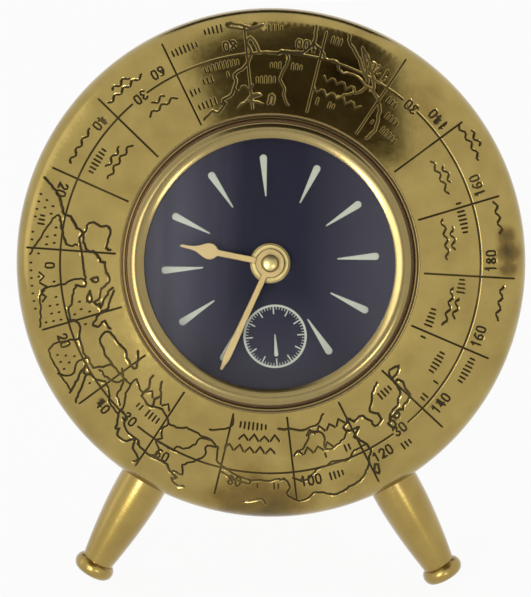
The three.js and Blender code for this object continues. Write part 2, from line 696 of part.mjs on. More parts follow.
// What stands on the dial under the hands
function buildHandStack() {
  const washer = ring(bushingHole, DIAL_WASHER_RADIUS, dialWasherBase, dialWasherTop, RING_SIDES);
  add(insert, 'dial_washer', washer, 'gildedHand');
  const slotBase = DIAL_NUT_RADIUS - DIAL_NUT_SLOT_DEPTH;
  const slotHalf = DIAL_NUT_SLOT_WIDTH / 2;
  const slots = [0, Math.PI].map((turn) => {
    const slot = rectangle(slotBase, -slotHalf, DIAL_NUT_RADIUS + FIT, slotHalf);
    return plate(slot, dialNutBase - FIT, dialNutTop + FIT).rotateZ(turn);
  });
  const dialNut = cut(ring(bushingHole, DIAL_NUT_RADIUS, dialNutBase, dialNutTop), slots);
  add(insert, 'dial_nut', dialNut, 'gildedHand');
  const pad = ring(bushingHole, MOVEMENT_PAD_RADIUS, caseFront + FIT, dialBase - FIT, RING_SIDES);
  add(insert, 'movement_pad', pad, 'blackRubber');

  const minute = new THREE.Shape();
  minute.moveTo(MINUTE_HAND_ROOT / 2, 0);
  minute.lineTo(MINUTE_HAND_WIDTH / 2, MINUTE_HAND_SHOULDER);
  minute.lineTo(MINUTE_HAND_TIP / 2, MINUTE_HAND_LENGTH);
  minute.lineTo(-MINUTE_HAND_TIP / 2, MINUTE_HAND_LENGTH);
  minute.lineTo(-MINUTE_HAND_WIDTH / 2, MINUTE_HAND_SHOULDER);
  minute.lineTo(-MINUTE_HAND_ROOT / 2, 0);
  const minuteHand = cut(
    joined(
      disc(HUB_RADIUS, minuteHandBase, minuteHandTop, RING_SIDES),
      plate(minute, minuteHandBase, minuteHandTop),
    ),
    [disc(ARBOR_RADIUS + FIT, minuteHandBase - FIT, minuteHandTop + FIT)],
  );
  add(insert, 'minute_hand', minuteHand, 'gildedHand').rotation.z = -radians(MINUTE_HAND_ANGLE);

  const half = HOUR_HAND_STEM / 2;
  const tip = HOUR_HAND_TIP / 2;
  const shoulder = radians(HOUR_HAND_SHOULDER);
  const shoulderHalf = HOUR_HAND_BULGE_RADIUS * Math.cos(shoulder);
  const shoulderPlace = HOUR_HAND_BULGE_PLACE + HOUR_HAND_BULGE_RADIUS * Math.sin(shoulder);
  const hour = new THREE.Shape();
  hour.moveTo(half, 0);
  hour.lineTo(half, HOUR_HAND_BULGE_PLACE);
  hour.lineTo(shoulderHalf, shoulderPlace);
  hour.quadraticCurveTo(tip, HOUR_HAND_HOLLOW, tip, HOUR_HAND_LENGTH);
  hour.lineTo(-tip, HOUR_HAND_LENGTH);
  hour.quadraticCurveTo(-tip, HOUR_HAND_HOLLOW, -shoulderHalf, shoulderPlace);
  hour.lineTo(-half, HOUR_HAND_BULGE_PLACE);
  hour.lineTo(-half, 0);
  const bulge = disc(HOUR_HAND_BULGE_RADIUS, hourHandBase, hourHandTop);
  const hourHand = cut(
    joined(
      disc(HUB_RADIUS, hourHandBase, hourHandTop, RING_SIDES),
      plate(hour, hourHandBase, hourHandTop),
      bulge.translate(0, HOUR_HAND_BULGE_PLACE, 0),
    ),
    [disc(pipeRadius + FIT, hourHandBase - FIT, hourHandTop + FIT)],
  );
  add(insert, 'hour_hand', hourHand, 'gildedHand').rotation.z = -radians(HOUR_HAND_ANGLE);

  const cap = [
    [0, capBase],
    [CAP_RADIUS, capBase],
    ...arc(0, 0, 1, 0, 90, 4).map(([across, up]) => [
      CAP_RADIUS * across,
      capBase + CAP_HEIGHT * (CAP_RIM + (1 - CAP_RIM) * up),
    ]),
  ].map(([radius, height]) => [radius < 1e-6 ? 0 : radius, height]);
  add(insert, 'cap_nut', turned(cap, SMALL_SIDES), 'gildedHand');
}

// Depths of the movement's layers behind its case's front
const bushingFlangeFront = CASE_FLOOR + FIT;
const hourWheelFront = bushingFlangeFront + BUSHING_FLANGE_THICKNESS + FIT;
const minuteWheelFront = hourWheelFront + WHEEL_THICKNESS + WHEEL_GAP;
const centreWheelFront = minuteWheelFront + WHEEL_THICKNESS + WHEEL_GAP;
const thirdWheelFront = centreWheelFront + WHEEL_THICKNESS + WHEEL_GAP;
const statorFront = minuteWheelFront + WHEEL_THICKNESS + FIT;
const coreFront = statorFront + STATOR_THICKNESS + FIT;
const coilMiddle = coreFront + CORE_THICKNESS / 2;
const boardFront = coilMiddle + COIL_FLANGE_RADIUS + FIT;
const boardBack = boardFront + BOARD_THICKNESS;
const caseDepth = boardBack + FIT;
const coverFront = caseDepth + FIT;
const coverBack = coverFront + COVER_THICKNESS;
const knobFront = coverBack + FIT;
const batteryMiddle = CASE_FLOOR + FIT + BATTERY_RADIUS;

// Where the movement's arbors stand, with the dial's centre at 0, 0
function tipRadius(teeth, module) {
  return module * (teeth / 2 + TOOTH_ADDENDUM);
}

const motionDistance = (MOTION_MODULE * (HOUR_TEETH + MINUTE_LEAVES)) / 2;
const hourTip = tipRadius(HOUR_TEETH, MOTION_MODULE);
const thirdDistance = hourTip + THIN_ARBOR_RADIUS + FIT; // the third arbor just clears the hour wheel
const trainModule = (2 * thirdDistance) / (CENTRE_TEETH + THIRD_LEAVES);
const centreTip = tipRadius(CENTRE_TEETH, trainModule);
const rotorDistance = (ROTOR_MODULE * (THIRD_TEETH + ROTOR_LEAVES)) / 2;

function polar(angle, distance) {
  return [distance * Math.cos(radians(angle)), distance * Math.sin(radians(angle))];
}

const [knobX, knobY] = polar(KNOB_DIRECTION, motionDistance);
const [thirdX, thirdY] = polar(THIRD_DIRECTION, thirdDistance);
const [rotorAcross, rotorUp] = polar(ROTOR_DIRECTION, rotorDistance);
const rotorX = thirdX + rotorAcross;
const rotorY = thirdY + rotorUp;

const statorHole = MAGNET_RADIUS + STATOR_AIR_GAP;
const coilY = rotorY + statorHole + STATOR_RIM + FIT + COIL_FLANGE_RADIUS;
const trainHalf = Math.max(hourTip, centreTip);
const partitionTop = -trainHalf - 2 * FIT;
const partitionBase = partitionTop - CASE_PARTITION;
const batteryY = partitionBase - FIT - BATTERY_RADIUS;
const bayBase = batteryY - BATTERY_RADIUS - FIT;
const caseBase = bayBase - CASE_WALL;
const roomTop = coilY + COIL_FLANGE_RADIUS + FIT;
const caseTop = roomTop + CASE_WALL;
const roomHalf = BATTERY_LENGTH / 2 + CONTACT_THICKNESS + 2 * FIT;
const caseHalf = roomHalf + CASE_WALL;

const movement = groupAt(insert, 0, 0, caseFront);

// A piece of the movement lies between two depths, and its arbor's parts run the same way
function layer(shape, front, back) {
  return plate(shape, -back, -front);
}

function arbor(radius, front, back, sides = SMALL_SIDES) {
  return disc(radius, -back, -front, sides);
}

// A wheel or pinion with a tooth, or the space between two teeth, turned towards an angle
function gear(teeth, module, towards, space = false) {
  const tip = tipRadius(teeth, module);
  const root = module * (teeth / 2 - TOOTH_DEDENDUM);
  const step = (2 * Math.PI) / teeth;
  const start = radians(towards) + (space ? step / 2 : 0);
  const corners = [];
  for (let tooth = 0; tooth < teeth; tooth += 1) {
    const middle = start + step * tooth;
    for (const [radius, half] of [
      [root, -TOOTH_ROOT],
      [tip, -TOOTH_TIP],
      [tip, TOOTH_TIP],
      [root, TOOTH_ROOT],
    ]) {
      const angle = middle + (half * module) / radius;
      corners.push([radius * Math.cos(angle), radius * Math.sin(angle)]);
    }
  }
  return polygon(corners);
}

function wheelLayer(outline, front) {
  return layer(outline, front, front + WHEEL_THICKNESS);
}

function leafLayer(outline, wheelFront) {
  return layer(outline, wheelFront - LEAF_OVERHANG, wheelFront + WHEEL_THICKNESS + LEAF_OVERHANG);
}

function buildWheels() {
  const bushingTop = caseFront - dialNutTop; // these reach out past the case's front, so they are negative
  const pipeTop = caseFront - hourHandTop;
  const arborTop = caseFront - minuteHandTop;
  const flangeEnd = bushingFlangeFront + BUSHING_FLANGE_THICKNESS;
  const bushing = turned(
    [
      [pipeRadius + FIT, -flangeEnd],
      [BUSHING_FLANGE_RADIUS, -flangeEnd],
      [BUSHING_FLANGE_RADIUS, -bushingFlangeFront],
      [bushingRadius, -bushingFlangeFront],
      [bushingRadius, -bushingTop],
      [pipeRadius + FIT, -bushingTop],
      [pipeRadius + FIT, -flangeEnd],
    ],
    SMALL_SIDES,
  );
  add(movement, 'centre_bushing', bushing, 'polishedBrass');

  const hourBack = hourWheelFront + WHEEL_THICKNESS;
  const hourWheel = cut(
    joined(
      wheelLayer(gear(HOUR_TEETH, MOTION_MODULE, KNOB_DIRECTION), hourWheelFront),
      arbor(pipeRadius, pipeTop, hourBack),
    ),
    [arbor(ARBOR_RADIUS + FIT, pipeTop - FIT, hourBack + FIT)],
  );
  add(movement, 'hour_wheel', hourWheel, 'whitePlastic');

  const centreBack = centreWheelFront + WHEEL_THICKNESS;
  const centreWheel = joined(
    wheelLayer(gear(CENTRE_TEETH, trainModule, THIRD_DIRECTION), centreWheelFront),
    leafLayer(gear(CANNON_LEAVES, MOTION_MODULE, KNOB_DIRECTION), minuteWheelFront),
    arbor(ARBOR_RADIUS, arborTop, centreBack),
  );
  add(movement, 'centre_wheel', centreWheel, 'turnedBrass');

  const knobTowards = KNOB_DIRECTION + 180;
  const minuteWheel = joined(
    wheelLayer(gear(MINUTE_TEETH, MOTION_MODULE, knobTowards, true), minuteWheelFront),
    leafLayer(gear(MINUTE_LEAVES, MOTION_MODULE, knobTowards, true), hourWheelFront),
    arbor(THIN_ARBOR_RADIUS, CASE_FLOOR + FIT, knobFront + SETTING_KNOB_HEIGHT / 2),
  );
  add(groupAt(movement, knobX, knobY, 0), 'minute_wheel', minuteWheel, 'whitePlastic');

  const thirdWheel = joined(
    wheelLayer(gear(THIRD_TEETH, ROTOR_MODULE, ROTOR_DIRECTION), thirdWheelFront),
    leafLayer(gear(THIRD_LEAVES, trainModule, THIRD_DIRECTION + 180, true), centreWheelFront),
    arbor(THIN_ARBOR_RADIUS, CASE_FLOOR + FIT, coverFront - FIT),
  );
  add(groupAt(movement, thirdX, thirdY, 0), 'third_wheel', thirdWheel, 'whitePlastic');

  const magnetMiddle = statorFront + STATOR_THICKNESS / 2;
  const rotor = joined(
    leafLayer(gear(ROTOR_LEAVES, ROTOR_MODULE, ROTOR_DIRECTION + 180, true), thirdWheelFront),
    arbor(MAGNET_RADIUS, magnetMiddle - MAGNET_HEIGHT / 2, magnetMiddle + MAGNET_HEIGHT / 2),
    arbor(THIN_ARBOR_RADIUS, CASE_FLOOR + FIT, coverFront - FIT),
  );
  add(groupAt(movement, rotorX, rotorY, 0), 'rotor', rotor, 'steel');
}

function buildSettingKnob() {
  const bore = THIN_ARBOR_RADIUS + FIT;
  const back = -knobFront - SETTING_KNOB_HEIGHT;
  const lip = SETTING_KNOB_RADIUS - WHEEL_THICKNESS;
  const knob = [
    [0, back],
    [lip, back],
    [SETTING_KNOB_RADIUS, back + WHEEL_THICKNESS],
    [SETTING_KNOB_RADIUS, -knobFront],
    [bore, -knobFront],
    [bore, -knobFront - SETTING_KNOB_HEIGHT / 2 - FIT],
    [0, -knobFront - SETTING_KNOB_HEIGHT / 2 - FIT],
  ];
  add(groupAt(movement, knobX, knobY, 0), 'setting_knob', turned(knob, LEG_SIDES), 'blackPlastic');
}

function buildMotor() {
  const coilHalf = COIL_LENGTH / 2;
  const coilX = rotorX - STATOR_TAB - coilHalf;
  const armBase = Math.max(centreTip + 2 * FIT, rotorY - statorHole - STATOR_RIM);
  const armTop = coilY - COIL_FLANGE_RADIUS - FIT;
  const tabLeft = coilX - coilHalf - FIT;
  const tabRight = coilX + coilHalf + FIT;
  const right = rotorX + statorHole + STATOR_RIM;
  const tabTop = coilY + CORE_WIDTH / 2;
  const yoke = polygon([
    [tabLeft - STATOR_TAB, armBase],
    [right, armBase],
    [right, tabTop],
    [tabRight, tabTop],
    [tabRight, armTop],
    [tabLeft, armTop],
    [tabLeft, tabTop],
    [tabLeft - STATOR_TAB, tabTop],
  ]);
  roundHole(yoke, rotorX, rotorY, statorHole);
  add(movement, 'stator', layer(yoke, statorFront, statorFront + STATOR_THICKNESS), 'steel');

  const flange = coilHalf - COIL_FLANGE_THICKNESS;
  const bobbin = turned(
    [
      [0, -coilHalf],
      [COIL_FLANGE_RADIUS, -coilHalf],
      [COIL_FLANGE_RADIUS, -flange],
      [COIL_RADIUS, -flange],
      [COIL_RADIUS, flange],
      [COIL_FLANGE_RADIUS, flange],
      [COIL_FLANGE_RADIUS, coilHalf],
      [0, coilHalf],
    ],
    SMALL_SIDES,
  );
  bobbin.rotateY(Math.PI / 2).translate(coilX, coilY, -coilMiddle);
  const coreHalf = CORE_WIDTH / 2;
  const core = rectangle(tabLeft - STATOR_TAB, coilY - coreHalf, right, coilY + coreHalf);
  const coil = joined(bobbin, layer(core, coreFront, coreFront + CORE_THICKNESS));
  add(movement, 'coil', coil, 'copperWire');
}

function buildBoard() {
  const edge = roomHalf - CONTACT_THICKNESS - 2 * FIT;
  const base = thirdY + THIN_ARBOR_RADIUS + 2 * FIT;
  const board = rectangle(-edge, base, edge, roomTop - FIT);
  roundHole(board, rotorX, rotorY, THIN_ARBOR_RADIUS + 2 * FIT);
  add(movement, 'circuit_board', layer(board, boardFront, boardBack), 'boardGreen');
  const can = disc(CAN_RADIUS, 0, CAN_LENGTH).rotateX(-Math.PI / 2);
  const canX = -edge + 2 * CAN_RADIUS + FIT;
  can.translate(canX, base + FIT, -boardFront + FIT + CAN_RADIUS);
  add(movement, 'quartz_can', can, 'steel');
}

function buildBattery() {
  const half = BATTERY_LENGTH / 2;
  const shoulder = half - BATTERY_NUB_LENGTH;
  const cell = turned(
    [
      [0, -half],
      [BATTERY_RADIUS - BATTERY_NUB_LENGTH / 2, -half],
      [BATTERY_RADIUS, -half + BATTERY_NUB_LENGTH / 2],
      [BATTERY_RADIUS, shoulder],
      [BATTERY_NUB_RADIUS, shoulder],
      [BATTERY_NUB_RADIUS, half],
      [0, half],
    ],
    LEG_SIDES,
  );
  cell.rotateY(Math.PI / 2).translate(0, batteryY, -batteryMiddle);
  add(movement, 'battery', cell, 'cellJacket');

  const tailTop = batteryY + CONTACT_TAIL;
  const tailBase = batteryY - BATTERY_RADIUS / 2;
  for (const [name, side] of [['contact_positive', 1], ['contact_negative', -1]]) {
    const inner = side * (half + FIT);
    const outer = inner + side * CONTACT_THICKNESS;
    const strip = rectangle(Math.min(inner, outer), tailBase, Math.max(inner, outer), tailTop);
    add(movement, name, layer(strip, CASE_FLOOR + FIT, boardBack), 'steel');
  }
}

function roundedOutline(left, base, right, top, radius) {
  const shape = new THREE.Shape();
  shape.moveTo(left + radius, base);
  shape.lineTo(right - radius, base);
  shape.absarc(right - radius, base + radius, radius, -Math.PI / 2, 0);
  shape.lineTo(right, top - radius);
  shape.absarc(right - radius, top - radius, radius, 0, Math.PI / 2);
  shape.lineTo(left + radius, top);
  shape.absarc(left + radius, top - radius, radius, Math.PI / 2, Math.PI);
  shape.lineTo(left, base + radius);
  shape.absarc(left + radius, base + radius, radius, Math.PI, 1.5 * Math.PI);
  return polygon(shape.getPoints(4).map((point) => [point.x, point.y]));
}

function buildCase() {
  const outline = roundedOutline(-caseHalf, caseBase, caseHalf, caseTop, CASE_CORNER_RADIUS);
  const pockets = [
    layer(rectangle(-roomHalf, partitionTop, roomHalf, roomTop), CASE_FLOOR, caseDepth + FIT),
    layer(rectangle(-roomHalf, bayBase, roomHalf, partitionBase), CASE_FLOOR, caseDepth + FIT),
  ];
  for (const side of [-1, 1]) {
    const inner = side * (roomHalf - CONTACT_THICKNESS - 2 * FIT);
    const outer = side * roomHalf;
    const slot = rectangle(Math.min(inner, outer), bayBase, Math.max(inner, outer), partitionTop + FIT);
    pockets.push(layer(slot, CASE_FLOOR, caseDepth + FIT));
  }
  pockets.push(arbor(bushingHole, -FIT, CASE_FLOOR + FIT));
  add(movement, 'movement_case', cut(layer(outline, 0, caseDepth), pockets), 'blackPlastic');

  const cover = polygon([
    [-caseHalf, partitionBase],
    [caseHalf, partitionBase],
    [caseHalf, caseTop - CASE_CORNER_RADIUS],
    [caseHalf - CASE_CORNER_RADIUS, caseTop],
    [-caseHalf + CASE_CORNER_RADIUS, caseTop],
    [-caseHalf, caseTop - CASE_CORNER_RADIUS],
  ]);
  roundHole(cover, knobX, knobY, THIN_ARBOR_RADIUS + FIT);
  add(movement, 'movement_cover', layer(cover, coverFront, coverBack), 'whitePlastic');
}

buildDome();
buildPan();
buildLegs();
buildHatch();
buildBezelStack();
buildDial();
buildHandStack();
buildWheels();
buildSettingKnob();
buildMotor();
buildBoard();
buildBattery();
buildCase();

// Lean the clock back and stand it on the table, with its box centred over the origin
const stand = new THREE.Group();
clock.quaternion.copy(lean);
stand.add(clock);
const box = new THREE.Box3().setFromObject(stand, true);
clock.position.set(-(box.min.x + box.max.x) / 2, -(box.min.y + box.max.y) / 2, -box.min.z);

export default stand;
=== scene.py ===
# %% [markdown]
# # Dressing a brass dome clock
# The solids of this clock come from a CAD model: a shallow spun dome with a glazed dial in it, on three
# turned legs. They have the right sizes and the right joints, but few faces and plain colours. This lesson
# builds the looks round them: an engraved map, turned brass, a satin dial, glass, and a small movement.
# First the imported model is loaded. Its nodes stay where they are, and each new piece rides on one of its
# bodies, so that everything moves as the real clock does.

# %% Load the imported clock
import json
import math

import bmesh
import bpy
import numpy as np
from mathutils import Matrix, Vector
from mathutils.geometry import delaunay_2d_cdt


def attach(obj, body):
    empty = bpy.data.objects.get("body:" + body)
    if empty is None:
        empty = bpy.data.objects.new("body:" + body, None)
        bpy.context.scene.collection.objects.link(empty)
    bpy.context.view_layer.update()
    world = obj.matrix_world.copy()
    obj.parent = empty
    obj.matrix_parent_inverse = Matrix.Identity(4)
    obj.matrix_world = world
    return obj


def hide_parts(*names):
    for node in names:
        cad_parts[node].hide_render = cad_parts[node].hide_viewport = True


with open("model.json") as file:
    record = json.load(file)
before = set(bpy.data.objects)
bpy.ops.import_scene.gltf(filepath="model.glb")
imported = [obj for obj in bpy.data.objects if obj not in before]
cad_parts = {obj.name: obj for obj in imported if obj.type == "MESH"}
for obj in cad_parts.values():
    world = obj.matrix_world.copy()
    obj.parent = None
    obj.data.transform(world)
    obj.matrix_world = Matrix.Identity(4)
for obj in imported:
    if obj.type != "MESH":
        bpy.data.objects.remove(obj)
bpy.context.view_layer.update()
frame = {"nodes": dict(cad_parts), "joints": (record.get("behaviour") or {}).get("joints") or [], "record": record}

# %% [markdown]
# ## One set of axes for the whole clock
# The clock leans back on its legs, but every turned part of it is drawn round the dial's axis. So the
# pieces are modelled upright in millimetres, with X to the right, Y up the dial and Z out of the dial, and
# one matrix carries them into the model's frame in metres. The minute hand's joint says where that axis is.

# %% The dial's axis
MM = 0.001
SEAT_HEIGHT = 19.5524  # flat strip round the dome's opening, over the dome's own origin
joints = {joint["name"]: joint for joint in frame["joints"]}
mounts = {mount["name"]: mount for mount in frame["record"]["mounts"]}


def axes_along(direction, origin):
    """A matrix in metres for a piece drawn in millimetres round its own Z axis."""
    out = Vector(direction).normalized()
    across = Vector((1, 0, 0))
    across = (across - out * across.dot(out)).normalized()
    facing = Matrix((across, out.cross(across), out)).transposed().to_4x4()
    return Matrix.Translation(origin) @ facing @ Matrix.Scale(MM, 4)


dial_out = -Vector(joints["minute_turn"]["axis"])
CLOCK = axes_along(dial_out, Vector(joints["minute_turn"]["pos_m"]) - dial_out * SEAT_HEIGHT * MM)
print("clock origin:", [round(v, 4) for v in CLOCK.translation])

# %% [markdown]
# ## Helpers for colour and nodes
# A colour is easiest to judge as the hex value that a screen shows, while shaders work in linear light.
# One function turns the first into the second. Another adds any node with its settings, and sets or links
# its inputs, so that a material reads as a list of what it does.

# %% Colours and nodes


def linear(hex_colour):
    """Linear light for an sRGB hex value, with an alpha of 1."""
    channels = [int(hex_colour[start : start + 2], 16) / 255 for start in (1, 3, 5)]
    return [c / 12.92 if c <= 0.04045 else ((c + 0.055) / 1.055) ** 2.4 for c in channels] + [1.0]


def set_sockets(tree, node, sockets):
    """Gives sockets a value, or a link from an output. A node in place of one means its first output."""
    for name, value in sockets.items():
        if isinstance(value, bpy.types.Node):
            value = value.outputs[0]
        if isinstance(value, bpy.types.NodeSocket):
            tree.links.new(value, node.inputs[name])
        else:
            node.inputs[name].default_value = value


def add_node(tree, kind, sockets=None, **settings):
    """Adds a node with its settings, and sets or links its sockets."""
    node = tree.nodes.new(kind)
    for name, value in settings.items():
        setattr(node, name, value)
    set_sockets(tree, node, sockets or {})
    return node


def new_finish(name, **sockets):
    """A material with one Principled shader, whose constant values are set on its own sockets."""
    material = bpy.data.materials.new(name)
    material.use_nodes = True
    tree = material.node_tree
    tree.nodes.clear()
    values = {name.replace("_", " "): value for name, value in sockets.items()}
    surface = add_node(tree, "ShaderNodeBsdfPrincipled", values)
    add_node(tree, "ShaderNodeOutputMaterial", {"Surface": surface})
    return material, tree, surface


print("brass as linear light:", [round(v, 3) for v in linear("#A68C4A")])

# %% [markdown]
# ## Brass, five ways
# All the brass here is one metal, yellow with a little green in it, and what changes is how it was worked.
# Spinning and turning leave fine rings that run round the piece, and handling leaves cloudy tarnish. The
# rings follow an attribute called along, the distance along a turned piece's profile in millimetres, so
# they stay true on every piece, whichever way it leans. Real tool marks are a few hundredths of a
# millimetre apart, too fine to show here, so they are drawn a few tenths apart. Old polish dries brown in
# hollows, and a piece that holds some says where in an attribute called grime.

# %% Turned, polished, satin, spun and gilt brass
RING_PITCH = 0.35  # millimetres between drawn tool marks
CLOUD_SIZE = 9.0  # millimetres across one cloud of tarnish
DRIED_POLISH = "#553C17"


def brass_finish(name, bright, dull, smooth, satin, ring_strength, coat=0.0):
    """Brass with tool marks round it and two tones of cloudy oxide, from a smooth to a satin roughness."""
    material, tree, surface = new_finish(name, Metallic=1.0, Coat_Weight=coat, Coat_Roughness=0.2)
    along = add_node(tree, "ShaderNodeAttribute", attribute_name="along")
    rings = add_node(
        tree,
        "ShaderNodeTexNoise",
        {"W": along.outputs["Fac"], "Scale": 1 / RING_PITCH, "Detail": 3.0},
        noise_dimensions="1D",
    )
    place = add_node(tree, "ShaderNodeTexCoord")
    cloud = add_node(
        tree,
        "ShaderNodeTexNoise",
        {
            "Vector": place.outputs["Object"],
            "Scale": 1 / (CLOUD_SIZE * MM),
            "Detail": 4.0,
            "Roughness": 0.6,
        },
    )
    patchy = add_node(tree, "ShaderNodeMapRange", {"Value": cloud, "From Min": 0.38, "From Max": 0.72})
    colour = add_node(
        tree, "ShaderNodeMix", {0: patchy, 6: linear(bright), 7: linear(dull)}, data_type="RGBA"
    )
    grime = add_node(tree, "ShaderNodeAttribute", attribute_name="grime")
    soiled = add_node(
        tree,
        "ShaderNodeMix",
        {0: grime.outputs["Fac"], 6: colour.outputs[2], 7: linear(DRIED_POLISH)},
        data_type="RGBA",
    )
    worn = add_node(tree, "ShaderNodeMath", {0: rings, 1: 0.35, 2: patchy}, operation="MULTIPLY_ADD")
    rough = add_node(
        tree,
        "ShaderNodeMapRange",
        {"Value": worn, "From Min": 0.1, "From Max": 1.2, "To Min": smooth, "To Max": satin},
    )
    marks = add_node(
        tree, "ShaderNodeBump", {"Height": rings, "Strength": ring_strength, "Distance": 0.05 * MM}
    )
    set_sockets(tree, surface, {"Base Color": soiled.outputs[2], "Roughness": rough, "Normal": marks})
    return material


# Lacquered bar straight from the lathe: a deep yellow with one long, soft highlight.
turned_brass = brass_finish("lathe_turned_brass", "#A0873F", "#967C37", 0.27, 0.33, 0.6, coat=0.8)
# Buffed bar under lacquer: paler and greener, with clear reflections that follow its curves.
polished_brass = brass_finish("polished_brass", "#8F7D49", "#877541", 0.16, 0.21, 0.25, coat=0.7)
# Bare fine-turned bar: pale, with a blurred sheen.
satin_brass = brass_finish("satin_turned_brass", "#C4B07A", "#B7A26A", 0.28, 0.38, 0.5)
# Sheet spun over a former: broad cloudy reflections and faint rings.
spun_brass = brass_finish("spun_sheet_brass", "#A48E50", "#9A844A", 0.22, 0.3, 0.6, coat=0.1)
# Thin sheet with a matt gilding: warm, even and without sharp reflections.
gilt_brass = brass_finish("satin_gilt_brass", "#AC9568", "#A38C5E", 0.3, 0.42, 0.3)
brasses = (turned_brass, polished_brass, satin_brass, spun_brass, gilt_brass)
print("brass finishes:", [finish.name for finish in brasses])

# %% [markdown]
# ## A lathe made of nodes
# Most of the clock was turned on a lathe: a profile swept once round an axis. A node tree does the same
# here. It takes the profile as a chain of edges, notes how far along it each point lies, sweeps it round a
# circle, and sets the finish. The Screw modifier could spin a profile too, but would not keep the distance
# that the brass needs for its tool marks.

# %% The lathe
PATH_RADIUS = 100.0  # millimetres; the profile is drawn out from this circle
SMOOTH_UNDER = math.radians(28)  # edges flatter than this are shaded smooth
SAME_PLACE = 1e-4  # millimetres within which two points are one


def socket_in(tree, name, kind):
    """Adds a named input to a node tree."""
    return tree.interface.new_socket(name, in_out="INPUT", socket_type=kind)


def make_lathe():
    """The node tree that sweeps a profile round a circle."""
    tree = bpy.data.node_groups.new("lathe", "GeometryNodeTree")
    socket_in(tree, "Profile", "NodeSocketGeometry")
    socket_in(tree, "Sides", "NodeSocketInt")
    socket_in(tree, "Path radius", "NodeSocketFloat")
    socket_in(tree, "Finish", "NodeSocketMaterial")
    tree.interface.new_socket("Turned", in_out="OUTPUT", socket_type="NodeSocketGeometry")
    given = add_node(tree, "NodeGroupInput")
    curve = add_node(tree, "GeometryNodeMeshToCurve", {"Mesh": given.outputs["Profile"]})
    length = add_node(tree, "GeometryNodeSplineParameter")
    noted = add_node(
        tree,
        "GeometryNodeStoreNamedAttribute",
        {"Geometry": curve, "Name": "along", "Value": length.outputs["Length"]},
        data_type="FLOAT",
        domain="POINT",
    )
    circle = add_node(
        tree,
        "GeometryNodeCurvePrimitiveCircle",
        {"Resolution": given.outputs["Sides"], "Radius": given.outputs["Path radius"]},
    )
    swept = add_node(tree, "GeometryNodeCurveToMesh", {"Curve": circle, "Profile Curve": noted})
    real = add_node(tree, "GeometryNodeRealizeInstances", {0: swept})
    dressed = add_node(
        tree, "GeometryNodeSetMaterial", {"Geometry": real, "Material": given.outputs["Finish"]}
    )
    add_node(tree, "NodeGroupOutput", {0: dressed})
    return tree


def in_scene(name, data):
    """Puts a mesh, a lamp or a camera in the scene, as an object."""
    thing = bpy.data.objects.new(name, data)
    bpy.context.scene.collection.objects.link(thing)
    return thing


def as_mesh(carrier):
    """What an object's modifiers make of its mesh, as a plain mesh."""
    return bpy.data.meshes.new_from_object(carrier.evaluated_get(bpy.context.evaluated_depsgraph_get()))


def run_tree(tree, mesh, **values):
    """Runs a node tree on a mesh and gives back a plain mesh, with the modifier gone."""
    carrier = in_scene("carrier", mesh)
    modifier = carrier.modifiers.new("nodes", "NODES")
    modifier.node_group = tree
    for item in tree.interface.items_tree:
        key = item.name.lower().replace(" ", "_")
        if item.in_out == "INPUT" and key in values:
            modifier[item.identifier] = values[key]
    result = as_mesh(carrier)
    bpy.data.objects.remove(carrier)
    return result


def closed(mesh):
    """Merges a mesh's seams and poles and points its faces outwards."""
    work = bmesh.new()
    work.from_mesh(mesh)
    bmesh.ops.remove_doubles(work, verts=work.verts, dist=SAME_PLACE)
    bmesh.ops.dissolve_degenerate(work, edges=work.edges, dist=SAME_PLACE / 10)
    bmesh.ops.recalc_face_normals(work, faces=work.faces)
    if work.calc_volume(signed=True) < 0:
        bmesh.ops.reverse_faces(work, faces=work.faces)
    work.to_mesh(mesh)
    work.free()
    return mesh


lathe = make_lathe()


def turned(profile, sides, finish, ring=False):
    """A mesh turned from [radius, height] points. A ring's profile joins up with its own start."""
    mesh = bpy.data.meshes.new("profile")
    places = [(radius - PATH_RADIUS, -height, 0.0) for radius, height in profile]
    chain = [(step, step + 1) for step in range(len(places) - 1)]
    if ring:
        chain.append((len(places) - 1, 0))
    mesh.from_pydata(places, chain, [])
    return closed(run_tree(lathe, mesh, sides=sides, path_radius=PATH_RADIUS, finish=finish))


def arc(centre_radius, centre_height, radius, start, end, steps):
    """Points of a profile along an arc, between two angles in degrees from the radius's direction."""
    angles = [math.radians(start + (end - start) * step / steps) for step in range(steps + 1)]
    return [(centre_radius + radius * math.cos(a), centre_height + radius * math.sin(a)) for a in angles]


def place_piece(name, mesh, matrix, body, slot, *nodes, true_normals=None):
    """Makes a mesh a piece of the clock: in its place, shaded, riding on a body, standing for CAD nodes."""
    mesh.transform(matrix)
    mesh.shade_smooth()
    mesh.set_sharp_from_angle(angle=SMOOTH_UNDER)
    if true_normals:
        true_normals(mesh, matrix)
    piece = in_scene(name, mesh)
    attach(piece, body)
    if nodes:
        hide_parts(*nodes)
    print(name, len(mesh.polygons), "faces")
    return piece


print("lathe inputs:", [item.name for item in lathe.interface.items_tree])

# %% [markdown]
# ## The dome's shape
# The dome is a spun sheet: a shallow crown, a tight rounding, and a short skirt that hides the back pan's
# edge. Its outer face is written as a height for each radius, because the engraving needs to know the
# height and the slope at any point of the map.

